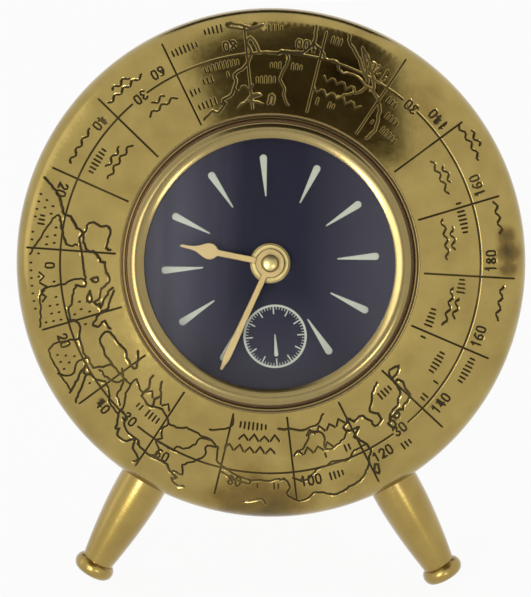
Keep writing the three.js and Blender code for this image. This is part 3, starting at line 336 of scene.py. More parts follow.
# %% The dome's profile
DOME_RADIUS = 75.95  # a hair inside the solid, whose rim has flat sides
CROWN_RADIUS = 140.0
KNUCKLE_RADIUS = 9.0
SKIRT_DEPTH = 4.0
SHEET = 1.6  # thickness of the dome and of the pan behind it
FIT = 0.3  # gap left between pieces that fit together
OPENING_RADIUS = 42.5
FLANGE_RADIUS = 44.2  # outer edge of the bezel, which stands in the opening
CROWN_INNER = FLANGE_RADIUS + 0.15  # the crown runs in as far as the bezel
MAP_EDGE = 74.0  # the map's mesh ends here and the lathe's part of the dome begins
knuckle_centre = DOME_RADIUS - KNUCKLE_RADIUS
crown_centre = -math.sqrt((CROWN_RADIUS - KNUCKLE_RADIUS) ** 2 - knuckle_centre**2)
crown_edge = math.degrees(math.acos(knuckle_centre / (CROWN_RADIUS - KNUCKLE_RADIUS)))
knuckle_start = CROWN_RADIUS * math.cos(math.radians(crown_edge))


def dome_surface(radius):
    """Height and outward slope of the dome's outer face, for an array of radii."""
    on_crown = radius < knuckle_start
    lean = np.where(on_crown, radius / CROWN_RADIUS, (radius - knuckle_centre) / KNUCKLE_RADIUS)
    rise = np.sqrt(1 - lean**2)
    height = np.where(on_crown, crown_centre + CROWN_RADIUS * rise, KNUCKLE_RADIUS * rise)
    return height, lean, rise


crown_inner_height = float(dome_surface(np.array([CROWN_INNER]))[0][0])
print("crown:", CROWN_INNER, "to", round(knuckle_start, 2), "mm, from", round(crown_inner_height, 2), "up")

# %% [markdown]
# ## A map of the north
# The dome carries a world map seen from over the north pole. This one is drawn from plain rules and
# general geography: a meridian every 20 degrees, the parallel of 30 degrees, and simple coasts, rivers and
# borders as lists of longitude and latitude. The meridians carry their degrees, the seas have ripples and
# the highlands have peaks, as on old charts. The pole lies behind the dial, and distance from it grows
# evenly with latitude.

# %% Coasts, rivers and borders
PARALLEL = 30.0  # the one parallel that is drawn, in degrees north
PARALLEL_RADIUS = 62.4
MAP_TURN = 177.0  # degrees on the dome of longitude 0, anticlockwise from the right
COASTS = {
    "africa": [(-17, 21), (-16, 23.5), (-14.5, 26), (-12.8, 27.8), (-9.8, 29.8), (-9.6, 31.6), (-6.8, 34.1)]
    + [(-5.9, 35.8), (-3, 35.3), (1, 36.5), (5.2, 36.8), (9.8, 37.3), (11, 37), (10.4, 35.6), (10.1, 34.2)]
    + [(13, 32.9), (15.3, 32.2), (16.2, 31.1), (19.6, 30.5), (20.1, 32.2), (22, 32.9), (25.1, 31.6)]
    + [(29.2, 30.9), (31, 31.5), (34.2, 31.3), (35, 32.9), (35.9, 35.6), (36.1, 36.7), (34.4, 36.6)]
    + [(32.5, 36.1), (30.6, 36.8), (28.6, 36.6), (26.6, 38.2), (26.3, 40), (29.1, 41.1), (31.4, 41.3)]
    + [(35, 42), (36.5, 41.3), (40.2, 41), (41.6, 41.8), (39.8, 43.5), (37.2, 45)],
    "iberia": [(-1.2, 44.7), (-2, 43.4), (-7.9, 43.7), (-9.2, 43), (-8.8, 40.5), (-9.4, 38.7), (-8.9, 37.1)]
    + [(-6.4, 36.8), (-5.4, 36.1), (-2.2, 36.8), (-0.6, 37.8), (0.1, 38.8), (-0.3, 39.6), (0.9, 41)]
    + [(3.2, 42), (3.2, 43.2), (6.6, 43.2), (8.6, 44.3), (10.3, 43.8), (12.3, 41.7), (15.6, 40.1)]
    + [(16.1, 38.6), (17.1, 39), (16.8, 40.4), (18.4, 40), (16, 41.6), (13.6, 43.6), (12.4, 44.9)],
    "balkans": [(13.6, 45.2), (16, 43.6), (19.4, 41.8), (19.5, 40.3), (21.3, 37.8), (22.8, 36.5)]
    + [(24, 37.8), (22.9, 39.3), (22.8, 40.4), (24.2, 40.4), (26, 40.8)],
    "sicily": [(12.5, 38), (15.5, 38.2), (15.1, 36.8), (12.5, 38)],
    "sardinia": [(8.2, 40.8), (9.4, 41), (9.6, 39.4), (8.5, 39), (8.2, 40.8)],
    "red_sea": [(36.6, 21.6), (35.5, 24), (33.6, 27.8), (32.6, 29.9), (34.2, 27.9), (35, 29.4), (35.3, 28)]
    + [(37.4, 24.5), (39.2, 21.4)],
    "gulf": [(58.9, 21), (59.7, 22.4), (57, 24), (56.3, 26.3), (54, 24.2), (51.8, 24.2), (51.3, 26)]
    + [(50.6, 25), (50, 26.6), (48.3, 29), (48, 30.1), (50.2, 30), (51.4, 28), (54.6, 26.6), (57, 27)]
    + [(57.4, 25.8)]
    + [(61.6, 25.2), (66.5, 25.3), (67.5, 24), (70, 22.8), (69, 22.2), (70.8, 20.9), (72.6, 21.4)],
    "caspian": [(47.6, 44), (47.6, 42.6), (49.7, 40.4), (49, 38.4), (50.6, 37.1), (53.9, 37.1)]
    + [(53.2, 39.5), (54, 41.2), (52.5, 42.6), (51, 44.6)],
    "bengal": [(87, 21.2), (88.6, 21.7), (91.6, 22.4), (92.4, 21)],
    "china": [(108, 21.5), (110.5, 21.3), (113.8, 22.3), (116.6, 23.1), (119.4, 25.5), (120.4, 27.4)]
    + [(121.8, 29), (121.8, 31.2), (120.3, 34.2), (119.3, 35.1), (122.4, 37), (119.2, 37.4), (117.8, 38.8)]
    + [(120.8, 40.6), (121.6, 39), (124, 39.8), (125.2, 38.4), (126.5, 36.8), (126.4, 34.8), (129.2, 35.2)]
    + [(129.3, 37.2), (127.6, 39.3), (129.7, 41), (132, 43.2), (135.6, 44.6)],
    "taiwan": [(120.2, 23.2), (121.2, 25.2), (121.9, 24.6), (120.9, 22.2), (120.2, 23.2)],
    "kyushu": [(130, 33.3), (131.2, 33.7), (131.8, 32.8), (131, 31.4), (130.3, 31.4), (130, 33.3)],
    "shikoku": [(132.6, 33.6), (134.3, 34.2), (134.2, 33.4), (132.9, 32.9), (132.6, 33.6)],
    "honshu": [(131, 34.1), (132.8, 35.5), (135.6, 35.6), (137, 37.2), (138.6, 37.6), (139.8, 39.2)]
    + [(140.2, 41.1), (141.6, 41), (141.8, 39.4), (140.9, 37.6), (140.6, 35.5), (138.4, 34.7)]
    + [(136.8, 34.4), (135.8, 33.6), (135, 34.5), (131, 34.1)],
    "hokkaido": [(140.2, 41.8), (140.6, 43.2), (141.8, 44.6), (144, 44), (145.2, 43.3), (143.2, 42.2)]
    + [(141.2, 42.4), (140.2, 41.8)],
    "pacific_shore": [(-124, 45.2), (-124.4, 42.8), (-124, 40.4), (-122.5, 37.7), (-120.6, 34.7)]
    + [(-117.3, 32.9), (-115.8, 30), (-114.2, 28.2), (-112.2, 25.6), (-109.6, 23.1), (-111.2, 26)]
    + [(-113, 28.8), (-114.8, 31.6), (-112.2, 29.2), (-109.3, 26), (-106.3, 23.2), (-105.4, 20.8)],
    "atlantic_shore": [(-97.3, 21), (-97.6, 24), (-97.2, 27), (-95, 29.2), (-91.5, 29.5), (-89.3, 29.3)]
    + [(-88.6, 30.4), (-85.2, 29.8), (-83.8, 30), (-82.7, 28), (-81.2, 25.4), (-80.2, 26.6), (-81.3, 30)]
    + [(-79.4, 33.2), (-75.7, 35.3), (-76, 37), (-74.3, 39.6), (-73.8, 40.7), (-70.2, 41.7), (-70.6, 43)]
    + [(-67, 44.8), (-65.8, 43.7), (-61.4, 45.3)],
    "cuba": [(-84.6, 22), (-82, 23.1), (-79, 22.6), (-75.8, 21), (-78, 21), (-82, 22.5), (-84.6, 22)],
    "erie": [(-83, 41.8), (-80.8, 42.6), (-79, 42.8), (-80.6, 42), (-83, 41.8)],
    "michigan": [(-87.2, 44.8), (-87.8, 42.4), (-86.8, 41.8), (-86.2, 43), (-85.6, 44.8)],
}
BORDERS = [
    [(-2.2, 35.1), (-1.4, 32.4), (-4.8, 30), (-8.6, 28.7), (-8.7, 27.3), (-4.8, 25), (1.5, 21)],
    [(8.6, 36.9), (8.2, 34.4), (9.6, 30.3), (9.8, 26.4), (12, 23.4), (15, 22.9), (19, 21.6)],
    [(25, 31.6), (25, 22), (36.4, 22)],
    [(31, 31.4), (30.8, 28), (32.6, 26), (32.9, 24), (31.2, 21.4)],
    [(36.1, 36.4), (38.2, 36.8), (42.3, 37.2), (44.7, 37.3), (45.6, 34.6), (47.6, 32), (48, 30.2)],
    [(35.7, 32.7), (38.8, 33.3), (41.2, 34.5), (42.3, 37.2)],
    [(35, 29.4), (37.6, 30.2), (39.2, 32), (42.4, 31), (44.8, 29.2), (48.3, 28.9)],
    [(46.8, 31), (44.2, 32.6), (43.4, 35.2), (41.2, 37.4), (39, 38.4)],
    [(44.7, 37.3), (44.4, 39.6), (46.6, 38.9), (48.9, 38.4)],
    [(53.9, 37.2), (57.2, 38.2), (61.2, 35.8), (60.6, 33.6), (61.6, 31.2), (60.9, 29.8), (63.2, 27.2)]
    + [(61.6, 25.2)],
    [(60.9, 29.8), (66.3, 29.9), (66.6, 31.4), (69.4, 31.9), (71.2, 34.4), (71.6, 36.3), (74.6, 37)],
    [(61.2, 35.8), (64.6, 36.4), (66.6, 37.5), (69.6, 37.5), (74.6, 37), (77.8, 35.5)],
    [(68.4, 24.2), (71, 24.6), (70.2, 27.2), (73, 29.8), (75, 32.4), (74.2, 34.6), (77.8, 35.5)],
    [(77.8, 35.5), (78.7, 31.3), (81.2, 30.1), (84.2, 28.7), (88, 27.9), (92, 27.8), (97.3, 28.3)],
    [(80.2, 29), (84, 27.3), (88.1, 26.5), (88, 27.9)],
    [(97.3, 28.3), (98.6, 25.8), (97.7, 24), (99.3, 22), (101.8, 21.4), (105, 23.1), (108, 21.6)],
    [(121.8, 31.6), (117.8, 31.4), (115.4, 29.8), (111, 30.6), (106.4, 29.5), (102.8, 27), (99.6, 28.4)],
    [(119, 37.7), (114, 34.8), (110.4, 34.8), (110.8, 39.4), (107, 40.4), (104.6, 37), (101, 35.4)],
    [(96.4, 42.8), (101.2, 42.5), (105.2, 41.7), (110.2, 42.6), (113, 44.8)],
    [(73.8, 39.6), (76.2, 40.4), (80.2, 42.2), (80.4, 44.8)],
    [(-89.6, 29.4), (-91.3, 31), (-90.8, 34), (-89.3, 37), (-90.8, 39.8), (-91.2, 42.8), (-93, 44.8)],
    [(-117.1, 32.5), (-114.8, 32.6), (-111, 31.4), (-106.5, 31.8), (-104.4, 29.6), (-101.6, 29.8)]
    + [(-99.4, 27.4), (-97.2, 26)],
    [(-114.7, 32.6), (-114.4, 34.8), (-112.2, 36.3), (-109.6, 38.4)],
    [(-84, 45), (-79.4, 43.4), (-76.4, 44.2), (-74.8, 45)],
]


def on_map(longitude, latitude):
    """Where a place lies on the flat map, in millimetres from the pole."""
    angle = math.radians(longitude + MAP_TURN)
    radius = PARALLEL_RADIUS * (90 - latitude) / (90 - PARALLEL)
    return radius * math.cos(angle), radius * math.sin(angle)


print(len(COASTS), "coasts and", len(BORDERS), "rivers and borders")

# %% [markdown]
# ## From points to a graver's strokes
# A graver doesn't cut straight chords between points. So each list is run through a smooth curve, sampled
# about every millimetre and given a small wobble of the hand, from a fixed seed. Strokes are clipped to
# the band between the bezel and the rounded edge.

# %% Strokes
STROKE_STEP = 0.9  # millimetres between the points of a stroke
HAND_WOBBLE = 0.13  # how far a point strays, as a standard deviation
COAST_HALF = 0.56  # half the width of a cut, in millimetres, as are the next two
LINE_HALF = 0.44
MARK_HALF = 0.44
BAND = (45.6, 73.0)  # radii between which strokes are kept
hand = np.random.default_rng(11)
strokes = []  # each is (points, half width)


def smooth_path(points):
    """A curve through the points, sampled at even steps."""
    points = np.array(points, float)
    joins = np.allclose(points[0], points[-1])
    before = points[-2] if joins else 2 * points[0] - points[1]
    after = points[1] if joins else 2 * points[-1] - points[-2]
    spine = np.vstack([before, points, after])
    path = []
    for a, b, c, d in zip(spine, spine[1:], spine[2:], spine[3:]):
        count = max(1, round(float(np.linalg.norm(c - b)) / STROKE_STEP))
        slope, bend, twist = c - a, 2 * a - 5 * b + 4 * c - d, 3 * b - a - 3 * c + d
        for t in np.arange(count) / count:
            path.append(0.5 * (2 * b + slope * t + bend * t**2 + twist * t**3))
    return np.vstack([path, points[-1]])


def engrave(points, half, wobble=0.0):
    """Adds a stroke, broken where it leaves the map's band."""
    path = np.array(points, float)
    if wobble:
        path = smooth_path(path)
        path += hand.normal(0, wobble, path.shape)
    radius = np.hypot(path[:, 0], path[:, 1])
    inside = (radius > BAND[0]) & (radius < BAND[1])
    breaks = np.flatnonzero(np.diff(inside)) + 1
    for run, kept in zip(np.split(path, breaks), np.split(inside, breaks)):
        if kept[0] and len(run) > 1:
            strokes.append((run, half))


def polar(radius, angle):
    """A point of the flat map from its radius and its angle in degrees."""
    return radius * math.cos(math.radians(angle)), radius * math.sin(math.radians(angle))


for coast in COASTS.values():
    engrave([on_map(*place) for place in coast], COAST_HALF, HAND_WOBBLE)
for border in BORDERS:
    engrave([on_map(*place) for place in border], LINE_HALF, HAND_WOBBLE)
print("strokes for land and rivers:", len(strokes))

# %% [markdown]
# ## Meridians, degrees, ripples, peaks and hachures
# The straight lines and the small marks follow rules, so loops draw them. Digits are single strokes, as an
# engraver cuts them, and read from outside the dome. Short hill strokes fill the land between the lines;
# each is tried against what is cut already and left out where it would touch.

# %% How each small mark is cut
DIGIT_HEIGHT = 2.7
DIGIT_PITCH = 2.3
DIGIT_UNITS = 3  # height of a digit in the strokes below
RIPPLE_LENGTH, RIPPLE_HEIGHT = 3.4, 0.55
RIPPLE_PITCH = 2.1  # between rows
RIPPLE_SHIFT = 3.0  # degrees by which a second row is shorter at each end
RIPPLE_STEP = 0.7
PEAK_WIDTH, PEAK_HEIGHT = 2.5, 1.9
PEAK_LOW = 0.75  # every other peak is lower
PEAK_SPREAD = 1.25
HACHURE_PITCH = 1.25
HACHURE_SHORT, HACHURE_SWELL = 1.0, 1.1
SAND_PITCH = 2.3
SAND_DOT = 0.18
MARK_CLEARANCE = 1.15
DIGIT_CLEARANCE = 2.4  # so that no hill stroke reads as part of a number
SHORTEST_ROW = 3
digit_spots = []
DIGITS = {
    "0": [(0.3, 0), (0, 0.7), (0, 2.3), (0.4, 3), (1.2, 3), (1.6, 2.3), (1.6, 0.7), (1.2, 0), (0.3, 0)],
    "1": [(0.2, 2.3), (0.9, 3), (0.9, 0)],
    "2": [(0, 2.3), (0.4, 3), (1.2, 3), (1.6, 2.4), (1.5, 1.8), (0, 0), (1.7, 0)],
    "3": [(0, 2.5), (0.5, 3), (1.2, 3), (1.6, 2.4), (0.8, 1.6), (1.6, 0.8), (1.2, 0), (0.5, 0), (0, 0.5)],
    "4": [(1.2, 0), (1.2, 3), (0, 0.9), (1.7, 0.9)],
    "6": [(1.5, 2.8), (0.8, 3), (0, 1.8), (0, 0.6), (0.5, 0), (1.2, 0), (1.6, 0.8), (1.1, 1.6), (0, 1.3)],
    "8": [(0.8, 1.6), (0.1, 2.3), (0.5, 3), (1.2, 3), (1.6, 2.3), (0.8, 1.6), (0, 0.8), (0.5, 0), (1.2, 0)]
    + [(1.7, 0.8), (0.8, 1.6)],
}


def engrave_number(text, radius, angle):
    """Digits round the dome at a radius, upright to a reader outside it, centred on an angle."""
    size = DIGIT_HEIGHT / DIGIT_UNITS
    start = -DIGIT_PITCH * len(text) / 2
    for index, digit in enumerate(text):
        path = []
        for across, up in DIGITS[digit]:
            around = start + DIGIT_PITCH * index + across * size
            path.append(polar(radius - up * size, angle + math.degrees(around / radius)))
        engrave(path, MARK_HALF)
        digit_spots.extend(path)


def engrave_ripples(radius, start, end, rows):
    """Rows of small waves along an arc, as on the seas of old charts."""
    for row in range(rows):
        reach = radius + RIPPLE_PITCH * row
        steps = round(math.radians(end - start) * reach / RIPPLE_STEP)
        shift = RIPPLE_SHIFT * row
        angles = [start + shift + (end - start - 2 * shift) * step / steps for step in range(steps + 1)]
        path = []
        for angle in angles:
            swing = math.sin(2 * math.pi * math.radians(angle) * reach / RIPPLE_LENGTH)
            path.append(polar(reach + RIPPLE_HEIGHT * swing, angle))
        engrave(path, LINE_HALF)


def engrave_peaks(radius, start, count):
    """A row of small peaks with their tops towards the pole."""
    step = math.degrees(PEAK_SPREAD * PEAK_WIDTH / radius)
    half = math.degrees(PEAK_WIDTH / 2 / radius)
    for index in range(count):
        angle = start + step * index
        tall = PEAK_HEIGHT * (1.0 if index % 2 else PEAK_LOW)
        path = [polar(radius, angle - half), polar(radius - tall, angle), polar(radius, angle + half)]
        engrave(path, MARK_HALF)


def clear_of_lines(path):
    """Whether a small mark stands free of every line cut so far, and well free of the numbers."""
    path = np.array(path)[:, None]
    cut = np.vstack([points for points, half in strokes])
    from_lines = np.linalg.norm(path - cut, axis=2).min()
    from_digits = np.linalg.norm(path - np.array(digit_spots), axis=2).min()
    return from_lines > MARK_CLEARANCE and from_digits > DIGIT_CLEARANCE


def engrave_hachures(radius, middle, count):
    """A row of short hill strokes, longest in the middle, left out where they would touch a line."""
    row = []
    for index in range(count):
        angle = middle + math.degrees(HACHURE_PITCH * (index - (count - 1) / 2) / radius)
        length = HACHURE_SHORT + HACHURE_SWELL * math.sin(math.pi * (index + 0.5) / count)
        row.append([polar(radius + length * share, angle) for share in (-0.5, 0, 0.5)])
    free = [path for path in row if clear_of_lines(path)]
    for path in free if len(free) >= SHORTEST_ROW else []:
        engrave(path, MARK_HALF)


def engrave_sand(inner, outer, start, end):
    """Rows of dots, as for sand on old charts, left out where they would touch a line."""
    for row, radius in enumerate(np.arange(inner, outer, SAND_PITCH)):
        pitch = math.degrees(SAND_PITCH / radius)
        for angle in np.arange(start + 0.5 * pitch * (row % 2), end, pitch):
            dot = [polar(radius - SAND_DOT, angle), polar(radius + SAND_DOT, angle)]
            if clear_of_lines(dot):
                engrave(dot, MARK_HALF)


print("digits:", len(DIGITS), "drawn in", sum(len(path) for path in DIGITS.values()), "points")

# %% Where lines and small marks go
MERIDIAN_STEP = 20  # degrees
MERIDIAN_START = 45.8
MERIDIAN_END, MERIDIAN_LONG_END = 70.6, 72.6  # every third one is longer
MERIDIAN_POINTS = 20
DEGREES_RADIUS = 66.9
DEGREES_SHIFT = 4.6  # degrees round the dome from a meridian to its number
PARALLEL_NUMBERS = (49, 129, 229, 309)
PARALLEL_ARCS = ((51.6, 126.4), (131.6, 226.4), (231.6, 306.4), (311.6, 406.4))
RIPPLES = [  # radius, start and end angle, rows
    (52.5, 2, 15, 2), (56.5, 22, 33, 2), (69.0, 8, 16, 1), (69.2, 27, 37, 2), (54.5, -19, -7, 2),
    (69.2, -13.5, -5, 1), (67.5, 125, 136, 2), (54.0, 140, 153, 2), (66.5, 144, 154, 1),
    (56.5, 120, 130, 2),
]
PEAKS = [  # radius of the feet, start angle, count
    (53.5, 62, 5), (57.6, 64, 4), (53.0, 97.5, 2), (56.2, 258, 5), (52.6, 262, 4), (57.4, 279, 4),
    (52.0, 284, 4), (68.8, 184, 3), (52.8, 228, 3),
]
HACHURES = [  # radius, middle angle, count
    (68.5, 113, 8), (71.3, 103, 8), (60.2, 104, 10), (57.2, 107, 7), (55.4, 120, 12),
    (50.6, 110, 8), (54.2, 92, 7), (69.8, 91, 7), (58.5, 86, 8), (68.6, 74, 9), (56.2, 72, 10),
    (49.8, 73, 7), (66.0, 68, 6), (59.6, 56, 7), (55.6, 53, 8), (51.4, 50, 8), (69.2, 44, 7),
    (69.6, 36, 8), (58.5, 14, 8), (57.0, -8, 7), (67.0, -19, 11), (59.6, 150, 7), (52.4, 151, 9),
    (48.6, 168, 6), (59.6, 168, 6), (69.2, 173, 9), (65.4, 178, 5), (69.4, 190, 6), (66.6, 199, 6),
    (69.8, 207, 6), (61.0, 211, 6), (56.0, 222, 6), (51.6, 233, 9), (57.4, 232, 8), (64.6, 235, 7),
    (68.6, 246, 6), (52.6, 249, 6), (59.8, 250, 7), (48.4, 264, 8), (66.4, 270, 6), (70.6, 283, 7),
    (48.2, 281, 7), (59.2, 291, 8), (65.8, 287, 6), (70.8, 297, 6), (51.0, 311, 6), (57.4, 330, 6),
    (60.4, 322, 6), (67.2, 305, 8), (50.2, 340, 8), (66.4, 332, 7),
]
SANDS = [(64.4, 72.5, 163, 199), (64.4, 72.5, 204, 216), (53, 61, 192, 200)]  # radii, angles
for index in range(360 // MERIDIAN_STEP):
    longitude = MERIDIAN_STEP * index
    angle = longitude + MAP_TURN
    length = (MERIDIAN_END if index % 3 else MERIDIAN_LONG_END) - MERIDIAN_START
    steps = range(MERIDIAN_POINTS + 1)
    engrave([polar(MERIDIAN_START + length * step / MERIDIAN_POINTS, angle) for step in steps], LINE_HALF)
    degrees = longitude if longitude <= 180 else 360 - longitude
    engrave_number(str(degrees), DEGREES_RADIUS, angle + DEGREES_SHIFT)
for start, end in PARALLEL_ARCS:
    steps = round(math.radians(end - start) * PARALLEL_RADIUS)
    angles = [start + (end - start) * step / steps for step in range(steps + 1)]
    engrave([polar(PARALLEL_RADIUS, angle) for angle in angles], LINE_HALF)
for angle in PARALLEL_NUMBERS:
    engrave_number(str(round(PARALLEL)), PARALLEL_RADIUS + DIGIT_HEIGHT / 2, angle)
for row in RIPPLES:
    engrave_ripples(*row)
for row in PEAKS:
    engrave_peaks(*row)
for row in HACHURES:
    engrave_hachures(*row)
for patch in SANDS:
    engrave_sand(*patch)
print("all strokes:", len(strokes), "points:", sum(len(points) for points, half in strokes))

# %% [markdown]
# ## Cutting the strokes into the dome
# A displaced grid would need about a million faces to hold cuts half a millimetre wide. Instead the map is
# laid out flat, each stroke gives its middle and its two edges as lines that the mesh must follow, and a
# constrained triangulation fills in the rest. Each point is then sunk by how near it is to a stroke's
# middle and lifted on to the dome. That gives true V-shaped cuts with few faces. The depth is kept as an
# attribute called groove, which the finish uses to darken the cuts.

# %% The flat map as triangles
DOME_SIDES = 240
CLEAR_OF_CUTS = 0.6  # filling points nearer than this to a stroke's middle are left out
FILL_RINGS = np.concatenate([np.arange(46.3, 71.2, 1.7), np.arange(71.6, 73.9, 0.4)])
FAINTEST = 0.02  # shares of a cut's depth under this count as none
BATCH = 400  # places measured at a time, to keep the arrays small


def stroke_outline(points, half):
    """The closed edge of a stroke, with pointed ends."""
    step = np.gradient(points, axis=0)
    step /= np.linalg.norm(step, axis=1)[:, None]
    side = np.column_stack([-step[:, 1], step[:, 0]]) * half
    if np.allclose(points[0], points[-1]):
        return [points[:-1] + side[:-1], points[:-1] - side[:-1]]
    nose, tail = points[-1] + step[-1] * half, points[0] - step[0] * half
    return [np.vstack([points + side, nose, (points - side)[::-1], tail])]


def nearest_groove(places):
    """How deep each place lies in a stroke, 1 on its middle and 0 past its edge, and how far off it is."""
    starts = np.vstack([points[:-1] for points, half in strokes])
    ends = np.vstack([points[1:] for points, half in strokes])
    halves = np.concatenate([np.full(len(points) - 1, half) for points, half in strokes])
    along = ends - starts
    length = np.maximum((along**2).sum(1), 1e-12)
    groove = np.zeros(len(places))
    gap = np.zeros(len(places))
    for first in range(0, len(places), BATCH):
        away = places[first : first + BATCH, None] - starts
        share = np.clip((away * along).sum(2) / length, 0, 1)
        distance = np.linalg.norm(away - share[..., None] * along, axis=2)
        groove[first : first + BATCH] = np.clip(1 - distance / halves, 0, 1).max(1)
        gap[first : first + BATCH] = distance.min(1)
    return np.where(groove < FAINTEST, 0, groove), gap


def ring_points(radius, shift):
    """Even points round a circle, turned by a share of their spacing."""
    angles = 2 * np.pi * (np.arange(DOME_SIDES) + shift) / DOME_SIDES
    return np.column_stack([radius * np.cos(angles), radius * np.sin(angles)])


def flat_map():
    """The map as flat triangles that follow every stroke."""
    places = [ring_points(CROWN_INNER, 0), ring_points(MAP_EDGE, 0)]
    edges = []
    for first in (0, DOME_SIDES):
        edges += [(first + side, first + (side + 1) % DOME_SIDES) for side in range(DOME_SIDES)]
    count = 2 * DOME_SIDES
    for points, half in strokes:
        for line in stroke_outline(points, half):
            places.append(line)
            edges += [(count + step, count + (step + 1) % len(line)) for step in range(len(line))]
            count += len(line)
        places.append(points)
        edges += [(count + step, count + step + 1) for step in range(len(points) - 1)]
        count += len(points)
    fill = np.vstack([ring_points(radius, 0.5 * (row % 2)) for row, radius in enumerate(FILL_RINGS)])
    places.append(fill[nearest_groove(fill)[1] > CLEAR_OF_CUTS])
    flat = [Vector(place) for place in np.vstack(places)]
    filled = delaunay_2d_cdt(flat, edges, [], 0, SAME_PLACE / 10, False)
    points, faces = np.array(filled[0]), filled[2]
    inner = np.hypot(points[:, 0], points[:, 1]) < CROWN_INNER + 10 * SAME_PLACE
    return points, [list(face) for face in faces if not inner[list(face)].all()]


map_points, map_faces = flat_map()
print("flat map:", len(map_points), "points", len(map_faces), "triangles")

# %% The engraved dome
CUT_DEPTH = 0.34
SKIRT_CHAMFER, SKIRT_INNER_CHAMFER = 0.5, 0.3
ON_FACE = 0.02  # a point this near the outer face belongs to it


def dome_rest():
    """Profile of the dome outside the map: rounding, skirt, inner face, flat strip."""
    inner_seat = SEAT_HEIGHT - SHEET
    inner_crown = CROWN_RADIUS - SHEET
    seat_angle = math.degrees(math.asin((inner_seat - crown_centre) / inner_crown))
    edge_angle = math.degrees(math.acos((MAP_EDGE - knuckle_centre) / KNUCKLE_RADIUS))
    return (
        [(CROWN_INNER, crown_inner_height), (CROWN_INNER, SEAT_HEIGHT)]
        + [(OPENING_RADIUS, SEAT_HEIGHT), (OPENING_RADIUS, inner_seat)]
        + arc(0, crown_centre, inner_crown, seat_angle, crown_edge, 12)
        + arc(knuckle_centre, 0, KNUCKLE_RADIUS - SHEET, crown_edge, 0, 10)[1:]
        + [(DOME_RADIUS - SHEET, -SKIRT_DEPTH + SKIRT_INNER_CHAMFER)]
        + [(DOME_RADIUS - SHEET + SKIRT_INNER_CHAMFER, -SKIRT_DEPTH)]
        + [(DOME_RADIUS - SKIRT_CHAMFER, -SKIRT_DEPTH), (DOME_RADIUS, -SKIRT_DEPTH + SKIRT_CHAMFER)]
        + arc(knuckle_centre, 0, KNUCKLE_RADIUS, 0, edge_angle, 12)
    )


def mark_points(mesh, name, values):
    """Keeps one number for each point of a mesh, under a name that a finish can read."""
    layer = mesh.attributes.new(name, "FLOAT", "POINT")
    layer.data.foreach_set("value", np.asarray(values, np.float32))


def engraved_dome(flat, faces):
    """Sinks the cuts of the flat map, lifts it on to the dome and adds the rest of the shell."""
    groove = nearest_groove(flat)[0]
    radius = np.hypot(flat[:, 0], flat[:, 1])
    height, lean, rise = dome_surface(radius)
    outward = np.column_stack([flat * (lean / radius)[:, None], rise])
    places = np.column_stack([flat, height]) - outward * (CUT_DEPTH * groove)[:, None]
    rest = dome_rest()
    first = len(places)
    ring = np.vstack([np.column_stack([ring_points(r, 0), np.full(DOME_SIDES, h)]) for r, h in rest])
    walls = []
    for row in range(len(rest) - 1):
        for side in range(DOME_SIDES):
            a = first + row * DOME_SIDES + side
            b = first + row * DOME_SIDES + (side + 1) % DOME_SIDES
            walls.append([a, a + DOME_SIDES, b + DOME_SIDES, b])
    mesh = bpy.data.meshes.new("dome_shell_engraved")
    mesh.from_pydata(np.vstack([places, ring]), [], faces + walls)
    mark_points(mesh, "groove", np.concatenate([groove, np.zeros(len(ring))]))
    return closed(mesh)


def dome_normals(mesh, matrix):
    """Gives the smooth outer face its true normals, so that its triangles don't show in reflections."""
    back = matrix.inverted()
    places = np.array([back @ vertex.co for vertex in mesh.vertices])
    radius = np.hypot(places[:, 0], places[:, 1])
    height, lean, rise = dome_surface(np.minimum(radius, DOME_RADIUS))
    outward = np.column_stack([places[:, :2] * (lean / radius)[:, None], rise])
    outward = outward @ np.array(matrix.to_3x3().normalized()).T
    smooth = (np.abs(places[:, 2] - height) < ON_FACE) & (radius > CROWN_INNER - ON_FACE / 2)
    normals = np.array([corner.vector for corner in mesh.corner_normals])
    for face in mesh.polygons:
        corners = list(face.vertices)
        if smooth[corners].all():
            normals[list(face.loop_indices)] = outward[corners]
    mesh.normals_split_custom_set(normals)


dome_mesh = engraved_dome(map_points, map_faces)
print("engraved dome:", len(dome_mesh.vertices), "points", len(dome_mesh.polygons), "faces")

# %% [markdown]
# ## Lacquered brass with filled cuts
# Polished brass under old lacquer is not one colour: it is paler where hands rub it, brown where lacquer
# has lifted, and near the top it has gone dark in cloudy patches. Wax and soot sit in the cuts. The finish
# reads the groove attribute for the filling and a second attribute for the dark patches, which noise breaks
# up. At the top the patches are tarnish made darker with painted shade; at the right edge and towards the
# bottom they are painted shade alone. Inside a dark patch the filling of the cuts is lighter and the patch
# weaker on their walls: a painted highlight, for the light that the walls of the cuts catch.

# %% Where the dome is tarnished, and where shade is painted on it
PATCH_FALL = 1.2  # how fast a patch fades outwards
TARNISH_AND_SHADE = [  # x, y and reach in millimetres, and strength
    # Tarnish at the top, made darker with painted shade so that the bezel's top mirrors a dark band.
    (2, 56, 24, 0.46),
    (6, 47, 16, 0.55),
    (24, 55, 20, 0.62),
    (30, 42, 12, 0.6),
    (44, 47, 15, 0.46),
    # Painted shade at the right edge, standing for a dark reflection there.
    (70, 9, 5, 0.8),
    (70.5, 4, 5.5, 0.95),
    (70.5, -1, 5, 0.85),
    # Painted shade towards the bottom, standing for a darker reflection there.
    (-3, -74, 28, 0.66),
    (26, -68, 18, 0.48),
    (4, -60, 34, 0.4),
    (38, -52, 14, 0.35),
    (-72, -14, 9, 0.3),
]


